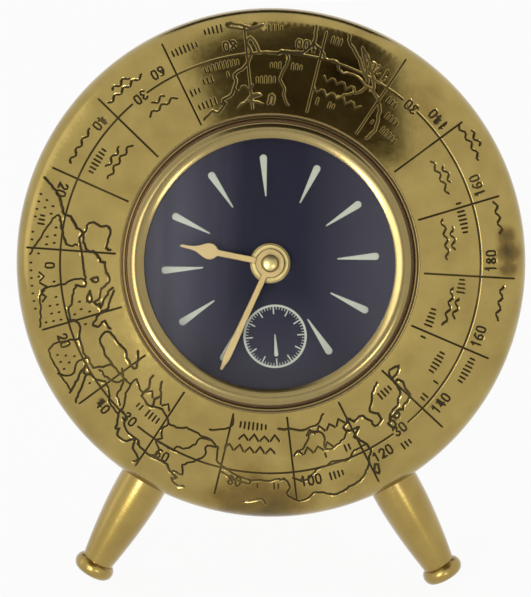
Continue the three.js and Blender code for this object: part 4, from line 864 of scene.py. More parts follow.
def tarnish_of(mesh):
    """How far each point of the dome is darkened by tarnish and painted shade, as the strongest of the patches
    round it.
    """
    places = np.array([vertex.co for vertex in mesh.vertices])
    amount = np.zeros(len(places))
    for x, y, reach, strength in TARNISH_AND_SHADE:
        distance = np.hypot(places[:, 0] - x, places[:, 1] - y) / reach
        amount = np.maximum(amount, strength * np.exp(-PATCH_FALL * distance**2))
    return amount


tarnish_and_shade = tarnish_of(dome_mesh)
mark_points(dome_mesh, "tarnish_and_shade", tarnish_and_shade)
print("tarnish: mean", round(float(tarnish_and_shade.mean()), 2), "most", round(float(tarnish_and_shade.max()), 2))

# %% The dome's finish
PATCH_SIZE = 11.0  # millimetres across a cloud that breaks up the tarnish
PIT_SIZE = 1.6
WEAR_SIZE = 16.0  # across a place where the filling of the cuts is worn


def engraved_finish():
    """Lacquered sheet brass with wax in its cuts: clear, gently rippled reflections, crisp dark lines."""
    material, tree, surface = new_finish("lacquered_engraved_brass", Metallic=1.0, Coat_Weight=0.1)
    place = add_node(tree, "ShaderNodeTexCoord")
    cut = add_node(tree, "ShaderNodeAttribute", attribute_name="groove")
    dark = add_node(tree, "ShaderNodeAttribute", attribute_name="tarnish_and_shade")
    cloud = add_node(
        tree,
        "ShaderNodeTexNoise",
        {
            "Vector": place.outputs["Object"],
            "Scale": 1 / (PATCH_SIZE * MM),
            "Detail": 3.5,
            "Roughness": 0.55,
        },
    )
    speck = add_node(
        tree,
        "ShaderNodeTexNoise",
        {"Vector": place.outputs["Object"], "Scale": 1 / (PIT_SIZE * MM), "Detail": 3.0},
    )
    calm = add_node(tree, "ShaderNodeMapRange", {"Value": cloud, "To Min": 0.25, "To Max": 0.75})
    # The dark patches, broken up by noise: partly tarnish, partly painted shade.
    broken = add_node(
        tree, "ShaderNodeMath", {0: dark.outputs["Fac"], 1: calm, 2: -0.42}, operation="MULTIPLY_ADD"
    )
    patch = add_node(
        tree,
        "ShaderNodeMapRange",
        {"Value": broken, "From Min": -0.28, "From Max": 0.08},
        interpolation_type="SMOOTHSTEP",
    )
    shade = add_node(tree, "ShaderNodeMapRange", {"Value": cloud, "From Min": 0.3, "From Max": 0.7})
    rubbed = add_node(
        tree, "ShaderNodeMix", {0: shade, 6: linear("#A99456"), 7: linear("#98844A")}, data_type="RGBA"
    )
    # Inside the cuts the dark patches are weaker: a painted highlight, for the light that the cuts' walls catch.
    flat = add_node(
        tree,
        "ShaderNodeMapRange",
        {"Value": cut.outputs["Fac"], "From Min": 0.02, "From Max": 0.2, "To Min": 1.0, "To Max": 0.25},
    )
    clouded = add_node(tree, "ShaderNodeMath", {0: patch, 1: flat}, operation="MULTIPLY")
    # Brown edge and dark core of each patch, in tarnish colours; on the patches of painted shade they are painted
    # shade too.
    edge = add_node(tree, "ShaderNodeMapRange", {"Value": clouded, "From Max": 0.45})
    browned = add_node(
        tree, "ShaderNodeMix", {0: edge, 6: rubbed.outputs[2], 7: linear("#846C38")}, data_type="RGBA"
    )
    core = add_node(tree, "ShaderNodeMapRange", {"Value": clouded, "From Min": 0.3})
    aged_and_shaded = add_node(
        tree, "ShaderNodeMix", {0: core, 6: browned.outputs[2], 7: linear("#3A3627")}, data_type="RGBA"
    )
    worn = add_node(
        tree,
        "ShaderNodeTexNoise",
        {"Vector": place.outputs["Object"], "Scale": 1 / (WEAR_SIZE * MM), "Detail": 2.0},
    )
    kept = add_node(
        tree, "ShaderNodeMapRange", {"Value": worn, "From Min": 0.36, "From Max": 0.5, "To Min": 0.8}
    )
    deep = add_node(
        tree,
        "ShaderNodeMapRange",
        {"Value": cut.outputs["Fac"], "From Min": 0.1, "From Max": 0.58},
        interpolation_type="SMOOTHSTEP",
    )
    filled = add_node(tree, "ShaderNodeMath", {0: deep, 1: kept}, operation="MULTIPLY")
    # The filling is lighter inside a dark patch: a painted highlight, for the light that the cuts' walls catch.
    wax = add_node(
        tree, "ShaderNodeMix", {0: patch, 6: linear("#443A25"), 7: linear("#5E4C28")}, data_type="RGBA"
    )
    colour = add_node(
        tree, "ShaderNodeMix", {0: filled, 6: aged_and_shaded.outputs[2], 7: wax.outputs[2]}, data_type="RGBA"
    )
    smooth = add_node(
        tree,
        "ShaderNodeMapRange",
        {"Value": speck, "From Min": 0.3, "From Max": 0.75, "To Min": 0.15, "To Max": 0.21},
    )
    rough = add_node(tree, "ShaderNodeMix", {0: filled, 2: smooth, 3: 0.75}, data_type="FLOAT")
    swell = add_node(tree, "ShaderNodeBump", {"Height": cloud, "Strength": 0.3, "Distance": 0.25 * MM})
    pits = add_node(
        tree,
        "ShaderNodeBump",
        {
            "Height": speck,
            "Strength": 0.07,
            "Distance": 0.06 * MM,
            "Normal": swell,
        },
    )
    set_sockets(tree, surface, {"Base Color": colour.outputs[2], "Roughness": rough, "Normal": pits})
    return material


dome_mesh.materials.append(engraved_finish())
place_piece(
    "dome_engraved", dome_mesh, CLOCK, "case", "dome_brass", "dome_shell", true_normals=dome_normals
)

# %% [markdown]
# ## Legs
# Each leg is one turning: a stud that goes through the pan, a barrel that swells and then narrows to a
# neck, and a round foot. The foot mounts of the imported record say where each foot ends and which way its
# leg points, so the same profile serves all three.

# %% Legs
STUD_RADIUS = 2.5
STUD_LENGTH = 7.8
LEG_TOP_RADIUS = 6.8
LEG_TOP_CHAMFER = 0.4
LEG_BELLY_PULL = 8.7  # the barrel's curve is drawn towards this radius
LEG_BELLY_PLACE = 0.4  # at this share of its length
LEG_NECK_RADIUS = 4.7
LEG_NECK_SINK = 0.5  # how far the neck runs into the foot
LEG_STEPS = 24
FOOT_RADIUS = 6.2
FOOT_HEIGHT = 4.6
FOOT_RELIEF = 0.05  # keeps the smooth foot inside the solid's flat-sided one
FOOT_FLAT_RADIUS = 4.4
FOOT_TURNS = range(-78, 91, 8)  # degrees round the foot's edge, from the neck to the floor
LEG_SIDES = 72
LEGS = {
    "foot_left": ("front_leg_left", 42.6),
    "foot_right": ("front_leg_right", 42.6),
    "foot_rear": ("rear_leg", 52.899),
}
leg_axes = []


def leg_profile(length):
    """Stud, barrel and foot from the seat down: the barrel is a curve drawn by three points."""
    neck = length - FOOT_HEIGHT
    profile = [(0, -STUD_LENGTH), (STUD_RADIUS, -STUD_LENGTH), (STUD_RADIUS, FIT)]
    profile.append((LEG_TOP_RADIUS - LEG_TOP_CHAMFER, FIT))
    top, belly, low = FIT + LEG_TOP_CHAMFER, neck * LEG_BELLY_PLACE, neck + LEG_NECK_SINK
    for step in range(LEG_STEPS + 1):
        t = step / LEG_STEPS
        start, middle, end = (1 - t) ** 2, 2 * t * (1 - t), t**2
        radius = start * LEG_TOP_RADIUS + middle * LEG_BELLY_PULL + end * LEG_NECK_RADIUS
        profile.append((radius, start * top + middle * belly + end * low))
    for angle in FOOT_TURNS:
        turn = math.radians(angle)
        bulge = (FOOT_RADIUS - FOOT_FLAT_RADIUS) * math.cos(turn) - FOOT_RELIEF
        height = neck + FOOT_HEIGHT / 2 * (1 + math.sin(turn)) - FOOT_RELIEF
        profile.append((FOOT_FLAT_RADIUS + bulge, height))
    return profile + [(0, length - FOOT_RELIEF)]


for mount, (node, length) in LEGS.items():
    direction = Vector(mounts[mount]["axis"])
    leg_axes.append(axes_along(direction, Vector(mounts[mount]["pos_m"]) - direction * length * MM))
    leg = turned(leg_profile(length), LEG_SIDES, turned_brass)
    place_piece(node + "_turned", leg, leg_axes[-1], "case", "turned_brass", node)

# %% [markdown]
# ## Bezel
# The bezel is turned from solid bar and polished: a flange that covers the dome's edge, with a groove, a
# ring and a hollow, and a fat bead that leads the eye down to the dial. Polished metal shows its shape by
# what it mirrors, so the bead is a true arc on both sides of its crest and not a chamfer. A cloth doesn't
# reach into the groove and the hollow, so old polish stays there.

# %% Bezel
# Heights are measured from the flat strip that the bezel stands on, as are those of all that it holds.
DIAL_VIEW_RADIUS = 36.95
VIEW_EDGE = DIAL_VIEW_RADIUS - 0.05
VIEW_EDGE_TOP = 5.5
BORE_RADIUS = 40.4
NECK_RADIUS = 42.2
BEZEL_BACK = 9.0524 - SEAT_HEIGHT
BEAD_CREST = 39.6
BEAD_TOP = 6.9
BEAD_INNER_LEAN = 21  # degrees of slope where the bead meets the dial's opening
BEAD_INNER_ARC = (BEAD_CREST - DIAL_VIEW_RADIUS) / math.sin(math.radians(BEAD_INNER_LEAN))
BEAD_OUTER_LEAN = 32
BEAD_OUTER_ARC = 3.1
BEAD_SHOULDER = 0.7
FLANGE_LIP = [(0.2, 0.3), (0, 0.5), (0, 0.8), (0.1, 1.0), (0.3, 0.98)]  # inset from the edge, and height
FLANGE_GROOVE = [(0.37, 0.6), (0.66, 0.6)]
FLANGE_RING = [(0.72, 1.15), (0.86, 1.36), (1.1, 1.45), (1.32, 1.4), (1.47, 1.2)]
FLANGE_HOLLOW = [(1.55, 0.85), (2.1, 0.72), (2.5, 0.8), (2.58, 1.2)]
HOLLOW_DEPTH = 0.92  # parts of the flange lower than this hold old polish
LENS_TOP = 2.3
RING_SIDES = 180


def bezel_profile():
    """The bezel's section, from its bore round by the neck, flange and bead to the dial's opening."""
    flange = FLANGE_LIP + FLANGE_GROOVE + FLANGE_RING + FLANGE_HOLLOW
    shoulder_turn = math.radians(BEAD_OUTER_LEAN)
    shoulder_reach = BEAD_OUTER_ARC - BEAD_SHOULDER
    shoulder = arc(
        BEAD_CREST + shoulder_reach * math.sin(shoulder_turn),
        BEAD_TOP - BEAD_OUTER_ARC + shoulder_reach * math.cos(shoulder_turn),
        BEAD_SHOULDER,
        5,
        90 - BEAD_OUTER_LEAN,
        6,
    )
    return (
        [(BORE_RADIUS, BEZEL_BACK), (NECK_RADIUS, BEZEL_BACK), (NECK_RADIUS, FIT)]
        + [(FLANGE_RADIUS - inset, height) for inset, height in flange]
        + shoulder
        + arc(BEAD_CREST, BEAD_TOP - BEAD_OUTER_ARC, BEAD_OUTER_ARC, 90 - BEAD_OUTER_LEAN, 90, 14)[1:]
        + arc(BEAD_CREST, BEAD_TOP - BEAD_INNER_ARC, BEAD_INNER_ARC, 90, 90 + BEAD_INNER_LEAN, 12)[1:]
        + [(VIEW_EDGE, VIEW_EDGE_TOP), (VIEW_EDGE, LENS_TOP + FIT), (BORE_RADIUS, LENS_TOP + FIT)]
    )


def holds_polish(spot):
    """Whether a spot of the bezel lies low on its flange, inside the lip."""
    return spot.xy.length < FLANGE_RADIUS - FIT and FIT < spot.z < HOLLOW_DEPTH


INSERT = CLOCK @ Matrix.Translation((0, 0, SEAT_HEIGHT))
bezel = turned(bezel_profile(), RING_SIDES, polished_brass, ring=True)
mark_points(bezel, "grime", [holds_polish(point.co) for point in bezel.vertices])
place_piece("bezel_turned", bezel, INSERT, "case", "turned_brass", "bezel")

# %% [markdown]
# ## Glass
# The lens is a flat disc of polished glass with a small chamfer. Light reaches the dial and leaves it again
# straight through the glass, so for shadow rays and scattered light the glass is simply clear. The eye and
# mirrors see real glass that bends and reflects.

# %% Glass
LENS_RADIUS = 40.1
LENS_CHAMFER = 0.25
GLASS_TINT = linear("#FCFEFD")


def glass_finish():
    """Polished window glass: clear, with a faint sharp reflection that grows as the eye moves aside."""
    material, tree, glass = new_finish(
        "polished_flat_glass", Base_Color=GLASS_TINT, Roughness=0.0, IOR=1.5, Transmission_Weight=1.0
    )
    path = add_node(tree, "ShaderNodeLightPath")
    clear = add_node(tree, "ShaderNodeBsdfTransparent", {"Color": GLASS_TINT})
    scattered = add_node(
        tree,
        "ShaderNodeMath",
        {0: path.outputs["Is Shadow Ray"], 1: path.outputs["Is Diffuse Ray"]},
        operation="MAXIMUM",
    )
    both = add_node(tree, "ShaderNodeMixShader", {0: scattered, 1: glass, 2: clear})
    set_sockets(tree, tree.nodes["Material Output"], {"Surface": both})
    return material


lens_face = LENS_RADIUS - LENS_CHAMFER
lens_profile = [(0, FIT), (lens_face, FIT), (LENS_RADIUS, FIT + LENS_CHAMFER)]
lens_profile += [(LENS_RADIUS, LENS_TOP - LENS_CHAMFER), (lens_face, LENS_TOP), (0, LENS_TOP)]
lens = turned(lens_profile, RING_SIDES, glass_finish())
place_piece("lens_glass", lens, INSERT, "case", "clear_glass", "lens")

# %% [markdown]
# ## Dial and its marks
# The dial is a thin metal plate in satin navy, brushed up and down before it was painted, so the paint
# shows faint upright streaks. Its marks are pale and stand up a little. Twelve batons and sixty ticks
# repeat round a centre, so a second node tree deals copies of one shape round a ring and can leave one out,
# as the small seconds ring takes the place of a baton at six.

# %% A tree that deals copies round a ring


def make_dealer():
    """The node tree that puts copies of a shape round a ring, each turned to face outwards."""
    tree = bpy.data.node_groups.new("deal_round_a_ring", "GeometryNodeTree")
    socket_in(tree, "Shape", "NodeSocketGeometry")
    socket_in(tree, "Count", "NodeSocketInt")
    socket_in(tree, "Left out", "NodeSocketInt")
    socket_in(tree, "Start", "NodeSocketFloat")
    socket_in(tree, "Finish", "NodeSocketMaterial")
    tree.interface.new_socket("Ring", in_out="OUTPUT", socket_type="NodeSocketGeometry")
    given = add_node(tree, "NodeGroupInput")
    points = add_node(tree, "GeometryNodePoints", {"Count": given.outputs["Count"]})
    index = add_node(tree, "GeometryNodeInputIndex")
    share = add_node(tree, "ShaderNodeMath", {0: index, 1: given.outputs["Count"]}, operation="DIVIDE")
    turn = add_node(
        tree,
        "ShaderNodeMath",
        {0: share, 1: -2 * math.pi, 2: given.outputs["Start"]},
        operation="MULTIPLY_ADD",
    )
    spin = add_node(tree, "ShaderNodeCombineXYZ", {"Z": turn})
    chosen = add_node(
        tree,
        "FunctionNodeCompare",
        {2: index, 3: given.outputs["Left out"]},
        data_type="INT",
        operation="NOT_EQUAL",
    )
    copies = add_node(
        tree,
        "GeometryNodeInstanceOnPoints",
        {
            "Points": points,
            "Selection": chosen,
            "Instance": given.outputs["Shape"],
            "Rotation": spin,
        },
    )
    real = add_node(tree, "GeometryNodeRealizeInstances", {0: copies})
    dressed = add_node(
        tree, "GeometryNodeSetMaterial", {"Geometry": real, "Material": given.outputs["Finish"]}
    )
    add_node(tree, "NodeGroupOutput", {0: dressed})
    return tree


dealer = make_dealer()


def dealt(shape, count, finish, left_out=-1, start=0.0):
    """Copies of a mesh round the Z axis, clockwise from an angle in radians, but for the one left out."""
    return run_tree(dealer, shape, count=count, left_out=left_out, start=start, finish=finish)


print("dealer inputs:", [item.name for item in dealer.interface.items_tree])

# %% [markdown]
# ## Plates cut from an outline
# Batons, ticks, hands and covers are flat plates with a softened upper edge. A Bevel modifier would round
# every corner of such an outline too. So a plate is built straight from its outline and its holes: walls, a
# small chamfer, and two flat faces that a triangulation fills.

# %% Plates


def offset_loop(loop, inset):
    """A closed loop moved to its left by a small distance."""
    loop = np.array(loop, float)
    before = loop - np.roll(loop, 1, axis=0)
    after = np.roll(loop, -1, axis=0) - loop
    before /= np.linalg.norm(before, axis=1)[:, None]
    after /= np.linalg.norm(after, axis=1)[:, None]
    middle = before + after
    middle /= np.linalg.norm(middle, axis=1)[:, None]
    spread = np.clip((middle * before).sum(1), 0.5, 1)
    return loop + np.column_stack([-middle[:, 1], middle[:, 0]]) * (inset / spread)[:, None]


def within(spot, loops):
    """Whether a spot is inside an outline and outside its holes: a line from it crosses them an odd number
    of times."""
    crossings = 0
    for loop in loops:
        for (ax, ay), (bx, by) in zip(loop, np.roll(loop, -1, axis=0)):
            if (ay > spot.y) != (by > spot.y) and spot.x < ax + (bx - ax) * (spot.y - ay) / (by - ay):
                crossings += 1
    return crossings % 2 == 1


def plate(outline, low, high, chamfer=0.0, holes=()):
    """A flat plate with chamfered upper edges. The outline runs anticlockwise and holes clockwise."""
    loops = [np.array(loop, float) for loop in (outline, *holes)]
    tops = [offset_loop(loop, chamfer) for loop in loops]
    places, faces, edges, flat = [], [], [], []
    for loop, top in zip(loops, tops):
        count, first = len(loop), len(places)
        for line, height in ((loop, low), (loop, high - chamfer), (top, high)):
            places += [(*spot, height) for spot in line]
        for row in (0, 1):
            for side in range(count):
                a = first + row * count + side
                b = first + row * count + (side + 1) % count
                faces.append([a, b, b + count, a + count])
        start = len(flat)
        flat += [Vector(spot) for spot in loop]
        edges += [(start + side, start + (side + 1) % count) for side in range(count)]
    owner = [(which, step) for which, loop in enumerate(loops) for step in range(len(loop))]
    starts = np.cumsum([0] + [3 * len(loop) for loop in loops])
    filled = delaunay_2d_cdt(flat, edges, [], 0, SAME_PLACE / 100, True)
    spots, cells, origin = filled[0], filled[2], filled[3]
    for cell in cells:
        if not within(sum((spots[corner] for corner in cell), Vector((0, 0))) / 3, loops):
            continue
        corners = [owner[origin[corner][0]] for corner in cell]
        faces.append([int(starts[which]) + step for which, step in reversed(corners)])
        faces.append([int(starts[which]) + 2 * len(loops[which]) + step for which, step in corners])
    mesh = bpy.data.meshes.new("plate")
    mesh.from_pydata(places, [], faces)
    return closed(mesh)


def joined(meshes):
    """Several meshes as one, in which each face keeps its finish."""
    work = bmesh.new()
    finishes = []
    for mesh in meshes:
        before = len(work.faces)
        work.from_mesh(mesh)
        work.faces.ensure_lookup_table()
        for face in work.faces[before:]:
            finish = mesh.materials[face.material_index]
            if finish not in finishes:
                finishes.append(finish)
            face.material_index = finishes.index(finish)
    whole = bpy.data.meshes.new("joined")
    work.to_mesh(whole)
    work.free()
    for finish in finishes:
        whole.materials.append(finish)
    return whole


def circle_loop(radius, count, x=0.0, y=0.0, clockwise=False):
    """A round outline, or a round hole where it runs clockwise."""
    way = -1 if clockwise else 1
    angles = [way * 2 * math.pi * step / count for step in range(count)]
    return [(x + radius * math.cos(a), y + radius * math.sin(a)) for a in angles]


square = [(0, 0), (2, 0), (2, 2), (0, 2)]
print("a 2 mm square drawn in by 0.2 mm:", offset_loop(square, 0.2).round(2).tolist())

# %% [markdown]
# ## Paint for the dial and its marks
# Satin enamel is a clear resin full of fine pigment. It reflects a little light from its surface and
# scatters the rest, so it needs no metal and only a low specular. The brushing under it shows as streaks,
# which a noise gives when it is stretched along the dial. The marks are thicker paint with a pearl sheen.

# %% Dial finishes
STREAK_WIDTH = 1 / 0.45  # millimetres
STREAK_STRETCH = 14  # how much longer than wide a streak is
GRAIN_SIZE = 0.5
FILM_SIZE = 1.2  # millimetres across an uneven place in the mark paint


def navy_finish():
    """Satin navy enamel on brushed metal: dark and even, with faint upright streaks a few mm wide."""
    material, tree, surface = new_finish(
        "satin_navy_enamel", Metallic=0.0, IOR=1.5, Specular_IOR_Level=0.15
    )
    place = add_node(tree, "ShaderNodeTexCoord")
    upright = add_node(
        tree,
        "ShaderNodeMapping",
        {
            "Vector": place.outputs["Object"],
            "Location": CLOCK.translation,
            "Rotation": CLOCK.to_euler(),
            "Scale": (MM, STREAK_STRETCH * MM, MM),
        },
        vector_type="TEXTURE",
    )
    streak = add_node(
        tree,
        "ShaderNodeTexNoise",
        {"Vector": upright, "Scale": 1 / STREAK_WIDTH, "Detail": 5.0, "Roughness": 0.7},
    )
    grain = add_node(
        tree,
        "ShaderNodeTexNoise",
        {"Vector": place.outputs["Object"], "Scale": 1 / (GRAIN_SIZE * MM), "Detail": 2.0},
    )
    tone = add_node(tree, "ShaderNodeMapRange", {"Value": streak, "From Min": 0.35, "From Max": 0.7})
    colour = add_node(
        tree, "ShaderNodeMix", {0: tone, 6: linear("#121024"), 7: linear("#1B1830")}, data_type="RGBA"
    )
    rough = add_node(tree, "ShaderNodeMapRange", {"Value": streak, "To Min": 0.42, "To Max": 0.6})
    skin = add_node(tree, "ShaderNodeBump", {"Height": grain, "Strength": 0.004, "Distance": 0.03 * MM})
    set_sockets(tree, surface, {"Base Color": colour.outputs[2], "Roughness": rough, "Normal": skin})
    return material


def mark_finish():
    """Pearl-white mark paint, laid on thick, with a slight sheen and an uneven film."""
    material, tree, surface = new_finish("pearl_mark_paint", Metallic=0.0, IOR=1.5)
    place = add_node(tree, "ShaderNodeTexCoord")
    film = add_node(
        tree,
        "ShaderNodeTexNoise",
        {"Vector": place.outputs["Object"], "Scale": 1 / (FILM_SIZE * MM), "Detail": 3.0},
    )
    colour = add_node(
        tree, "ShaderNodeMix", {0: film, 6: linear("#D2D4C4"), 7: linear("#C4C7B4")}, data_type="RGBA"
    )
    rough = add_node(tree, "ShaderNodeMapRange", {"Value": film, "To Min": 0.3, "To Max": 0.5})
    set_sockets(tree, surface, {"Base Color": colour.outputs[2], "Roughness": rough})
    return material


navy = navy_finish()
pearl = mark_finish()
print("dial finishes:", navy.name, pearl.name)

# %% Dial and marks
DIAL_TOP = -7.9
DIAL_SHEET = 0.8
DIAL_TURN = math.radians(4.4)  # the dial sits a little turned in its bezel
BUSHING_HOLE = 4.4
BATON_INNER, BATON_OUTER = 19.9, 32.3
BATON_HALF, BATON_TIP = 1.1, 0.2  # half widths at its two ends
BATON_CHAMFER = 0.12
SECONDS_PLACE = 21.7  # from the dial's centre down to the small ring's
SECONDS_RADIUS, SECONDS_INNER = 9.4, 8.75
SECONDS_HAND = (-0.6, 6.0, 0.62, 0.16)  # a baton too, printed pointing at its six
SECONDS_HAND_CHAMFER = 0.1
TICK_HALF, TICK_INNER = 0.1, 7.95
LONG_TICK_HALF, LONG_TICK_INNER = 0.19, 6.6
TICK_OUTER = 8.95
MARK_LOW = DIAL_TOP - 0.05  # the marks are sunk a little, so that no gap shows
MARK_TOP = DIAL_TOP + 0.22
THIN_MARK_TOP = MARK_TOP - 0.1
DIAL = INSERT @ Matrix.Rotation(DIAL_TURN, 4, "Z")


def baton(inner, outer, half, tip):
    """A tapered baton along Y, with a rounded outer end."""
    return [(-tip, inner), (tip, inner)] + arc(0, outer - half, half, 0, 180, 12)


def block(half, low, high):
    """The outline of an upright block, centred on Y."""
    return [(-half, low), (half, low), (half, high), (-half, high)]


def flat_ring(inner, outer, low, high):
    """The section of a plain ring."""
    return [(inner, low), (outer, low), (outer, high), (inner, high)]


dial_section = flat_ring(BUSHING_HOLE, LENS_RADIUS, DIAL_TOP - DIAL_SHEET, DIAL_TOP)
dial = turned(dial_section, RING_SIDES, navy, ring=True)
hour_baton = baton(BATON_INNER, BATON_OUTER, BATON_HALF, BATON_TIP)
hours = dealt(plate(hour_baton, MARK_LOW, MARK_TOP, BATON_CHAMFER), 12, pearl, left_out=6)
tick = plate(block(TICK_HALF, TICK_INNER, TICK_OUTER), MARK_LOW, THIN_MARK_TOP)
long_tick = plate(block(LONG_TICK_HALF, LONG_TICK_INNER, TICK_OUTER), MARK_LOW, THIN_MARK_TOP)
ring_section = flat_ring(SECONDS_INNER, SECONDS_RADIUS, MARK_LOW, THIN_MARK_TOP)
seconds_hand = plate(baton(*SECONDS_HAND), MARK_LOW, MARK_TOP, SECONDS_HAND_CHAMFER)
seconds = joined(
    [
        dealt(tick, 60, pearl),
        dealt(long_tick, 12, pearl),
        turned(ring_section, RING_SIDES, pearl, ring=True),
        dealt(seconds_hand, 1, pearl, start=math.pi),
    ]
)
seconds.transform(Matrix.Translation((0, -SECONDS_PLACE, 0)))
place_piece("dial_satin", dial, DIAL, "case", "navy_dial", "dial_plate")
place_piece("dial_marks", joined([hours, seconds]), DIAL, "case", "navy_dial")

# %% [markdown]
# ## Hands
# The hands were blanked from thin brass sheet, gilt and given a soft edge. The minute hand widens slowly to
# a blunt point and the hour hand has a spade with hollow shoulders. Each is one outline, written from the
# hub outwards on one side and mirrored, cut out as a plate with a hole for its arbor. They are set at the
# time that they show at rest.

# %% Hands and hub
HUB_RADIUS = 4.3
HUB_STEPS = 48
HAND_SHEET = 0.6
HAND_CHAMFER = 0.14
MINUTE_ANGLE, HOUR_ANGLE = 204.1, 280.6  # degrees clockwise from twelve
MINUTE_TIP, HOUR_TIP = 34.6, 27.2
MINUTE_LOW, HOUR_LOW = -3.7, -4.8
MINUTE_HOLE, HOUR_HOLE = 1.8, 2.8
HOLE_SIDES = 32
MINUTE_SIDE = [(0.92, 4.2), (0.93, 12), (0.97, 19), (1.12, 25), (1.2, 28.5), (1.1, 31.2), (0.68, 32.8)]
MINUTE_SIDE += [(0.5, 34.4)]
HOUR_SIDE = [(0.98, 4.2), (0.95, 10), (0.98, 15.6), (1.35, 16.1), (1.95, 16.7), (2.35, 17.4), (2.5, 18.2)]
HOUR_SIDE += [(2.42, 19), (2.1, 19.9), (1.62, 20.8), (1.15, 21.7), (0.82, 22.7), (0.64, 23.8), (0.56, 25)]
HOUR_SIDE += [(0.52, 26.4), (0.36, 27)]
HUB_SIDES = 72
CAP_SIDES = 48
CAP_BASE = [(0, -2.8), (2.55, -2.8), (2.6, -2.7), (2.6, -1.9)]  # radius and height, as in the next ones
CAP_DOME_RADIUS, CAP_DOME_HEIGHT, CAP_DOME_LOW = 2.5, 0.9, -1.8
WASHER = [(BUSHING_HOLE, -7.6), (6.0, -7.6), (6.0, -7.15), (5.85, -7.0), (BUSHING_HOLE, -7.0)]
ROUND_NUT = [(BUSHING_HOLE, -6.7), (5.5, -6.7), (5.58, -6.6), (5.58, -5.3), (5.4, -5.1)]
ROUND_NUT += [(BUSHING_HOLE, -5.1)]


def hand_outline(side, tip):
    """A hand along Y: round the hub, up the right side, round the tip and down the left side."""
    join = math.asin(side[0][0] / HUB_RADIUS)
    sweep = 2 * math.pi - 2 * join
    hub = []
    for step in range(1, HUB_STEPS):
        angle = math.pi / 2 + join + sweep * step / HUB_STEPS
        hub.append((HUB_RADIUS * math.cos(angle), HUB_RADIUS * math.sin(angle)))
    return hub + side + [(0.0, tip)] + [(-x, y) for x, y in reversed(side)]


def hand_mesh(side, tip, low, hole, angle):
    """A hand cut from sheet, with its hole, turned to the time that it shows."""
    holes = [circle_loop(hole, HOLE_SIDES, clockwise=True)]
    mesh = plate(hand_outline(side, tip), low, low + HAND_SHEET, HAND_CHAMFER, holes)
    mesh.transform(Matrix.Rotation(-math.radians(angle), 4, "Z"))
    mesh.materials.append(gilt_brass)
    return mesh


def cap_dome():
    """The cap's low dome as points of its profile, up to but without its middle."""
    turns = [math.radians(angle) for angle in range(0, 90, 10)]
    return [(CAP_DOME_RADIUS * math.cos(t), CAP_DOME_LOW + CAP_DOME_HEIGHT * math.sin(t)) for t in turns]


minute_hand = hand_mesh(MINUTE_SIDE, MINUTE_TIP, MINUTE_LOW, MINUTE_HOLE, MINUTE_ANGLE)
place_piece("minute_hand_gilt", minute_hand, INSERT, "minute", "gilt_brass", "minute_hand")
hour_hand = hand_mesh(HOUR_SIDE, HOUR_TIP, HOUR_LOW, HOUR_HOLE, HOUR_ANGLE)
place_piece("hour_hand_gilt", hour_hand, INSERT, "hour", "gilt_brass", "hour_hand")
cap_top = [(0, CAP_DOME_LOW + CAP_DOME_HEIGHT)]
cap = turned(CAP_BASE + cap_dome() + cap_top, CAP_SIDES, satin_brass)
place_piece("cap_nut_domed", cap, INSERT, "minute", "gilt_brass", "cap_nut")
washer = turned(WASHER, HUB_SIDES, satin_brass, ring=True)
place_piece("dial_washer_turned", washer, INSERT, "case", "gilt_brass", "dial_washer")
round_nut = turned(ROUND_NUT, HUB_SIDES, satin_brass, ring=True)
place_piece("dial_nut_round", round_nut, INSERT, "case", "gilt_brass", "dial_nut")

# %% [markdown]
# ## The back
# Behind the dome a second spun shell, the pan, carries the legs, and a round hatch closes its opening. The
# hatch turns on one screw and has a small turned knob. Both shells follow the CAD model's curves with many
# more sides, and their holes are cut with a Boolean.

# %% Pan
BACK_RADIUS = 152.0  # the back is part of a large ball
BACK_CENTRE = 114.0392
PAN_CORNER_RADIUS = 14.0
PAN_CORNER = (51.847, -13.8509)
PAN_EDGE = 22.063  # degrees from the axis where the back meets the corner
PAN_OPENING = 12.501  # degrees from the axis to the edge of the hatch's opening
PAN_TAPER = 12.0
WALL_START = 68.7
FLANGE_EDGE = 74.1
FLANGE_CHAMFER = 0.2
SCREW_RING = 71.4
SCREW_COUNT = 4
SCREW_START = 45  # degrees
SCREW_HOLE = 1.55
PIVOT_HOLE = 1.8
DRILL_SIDES = 24
DRILL_REACH = 3 * SHEET
PIVOT = axes_along(joints["hatch_swing"]["axis"], joints["hatch_swing"]["pos_m"])


def pan_profile():
    """The pan's section: outside from the opening to the flange's edge, and back along the inside."""
    corner = -90 + PAN_EDGE
    opening = -90 + PAN_OPENING
    taper = math.radians(PAN_TAPER)
    inner_wall = WALL_START - SHEET / math.cos(taper) + SHEET * math.tan(taper)
    flange_low = -FIT - SHEET
    return (
        arc(0, BACK_CENTRE, BACK_RADIUS, opening, corner, 8)
        + arc(*PAN_CORNER, PAN_CORNER_RADIUS, corner, -PAN_TAPER, 12)[1:]
        + [(WALL_START, flange_low), (FLANGE_EDGE - FLANGE_CHAMFER, flange_low)]
        + [(FLANGE_EDGE, flange_low + FLANGE_CHAMFER)]
        + [(FLANGE_EDGE, -FIT), (inner_wall, -FIT)]
        + arc(*PAN_CORNER, PAN_CORNER_RADIUS - SHEET, -PAN_TAPER, corner, 12)
        + arc(0, BACK_CENTRE, BACK_RADIUS - SHEET, corner, opening, 8)[1:]
    )


def cut_away(mesh, tools):
    """Takes the shapes of other meshes out of a mesh, with one Boolean each."""
    carrier = in_scene("carrier", mesh)
    cutters = [in_scene("cutter", tool) for tool in tools]
    for cutter in cutters:
        cut = carrier.modifiers.new("cut", "BOOLEAN")
        cut.operation = "DIFFERENCE"
        cut.object = cutter
    result = as_mesh(carrier)
    for thing in (carrier, *cutters):
        bpy.data.objects.remove(thing)
    return result


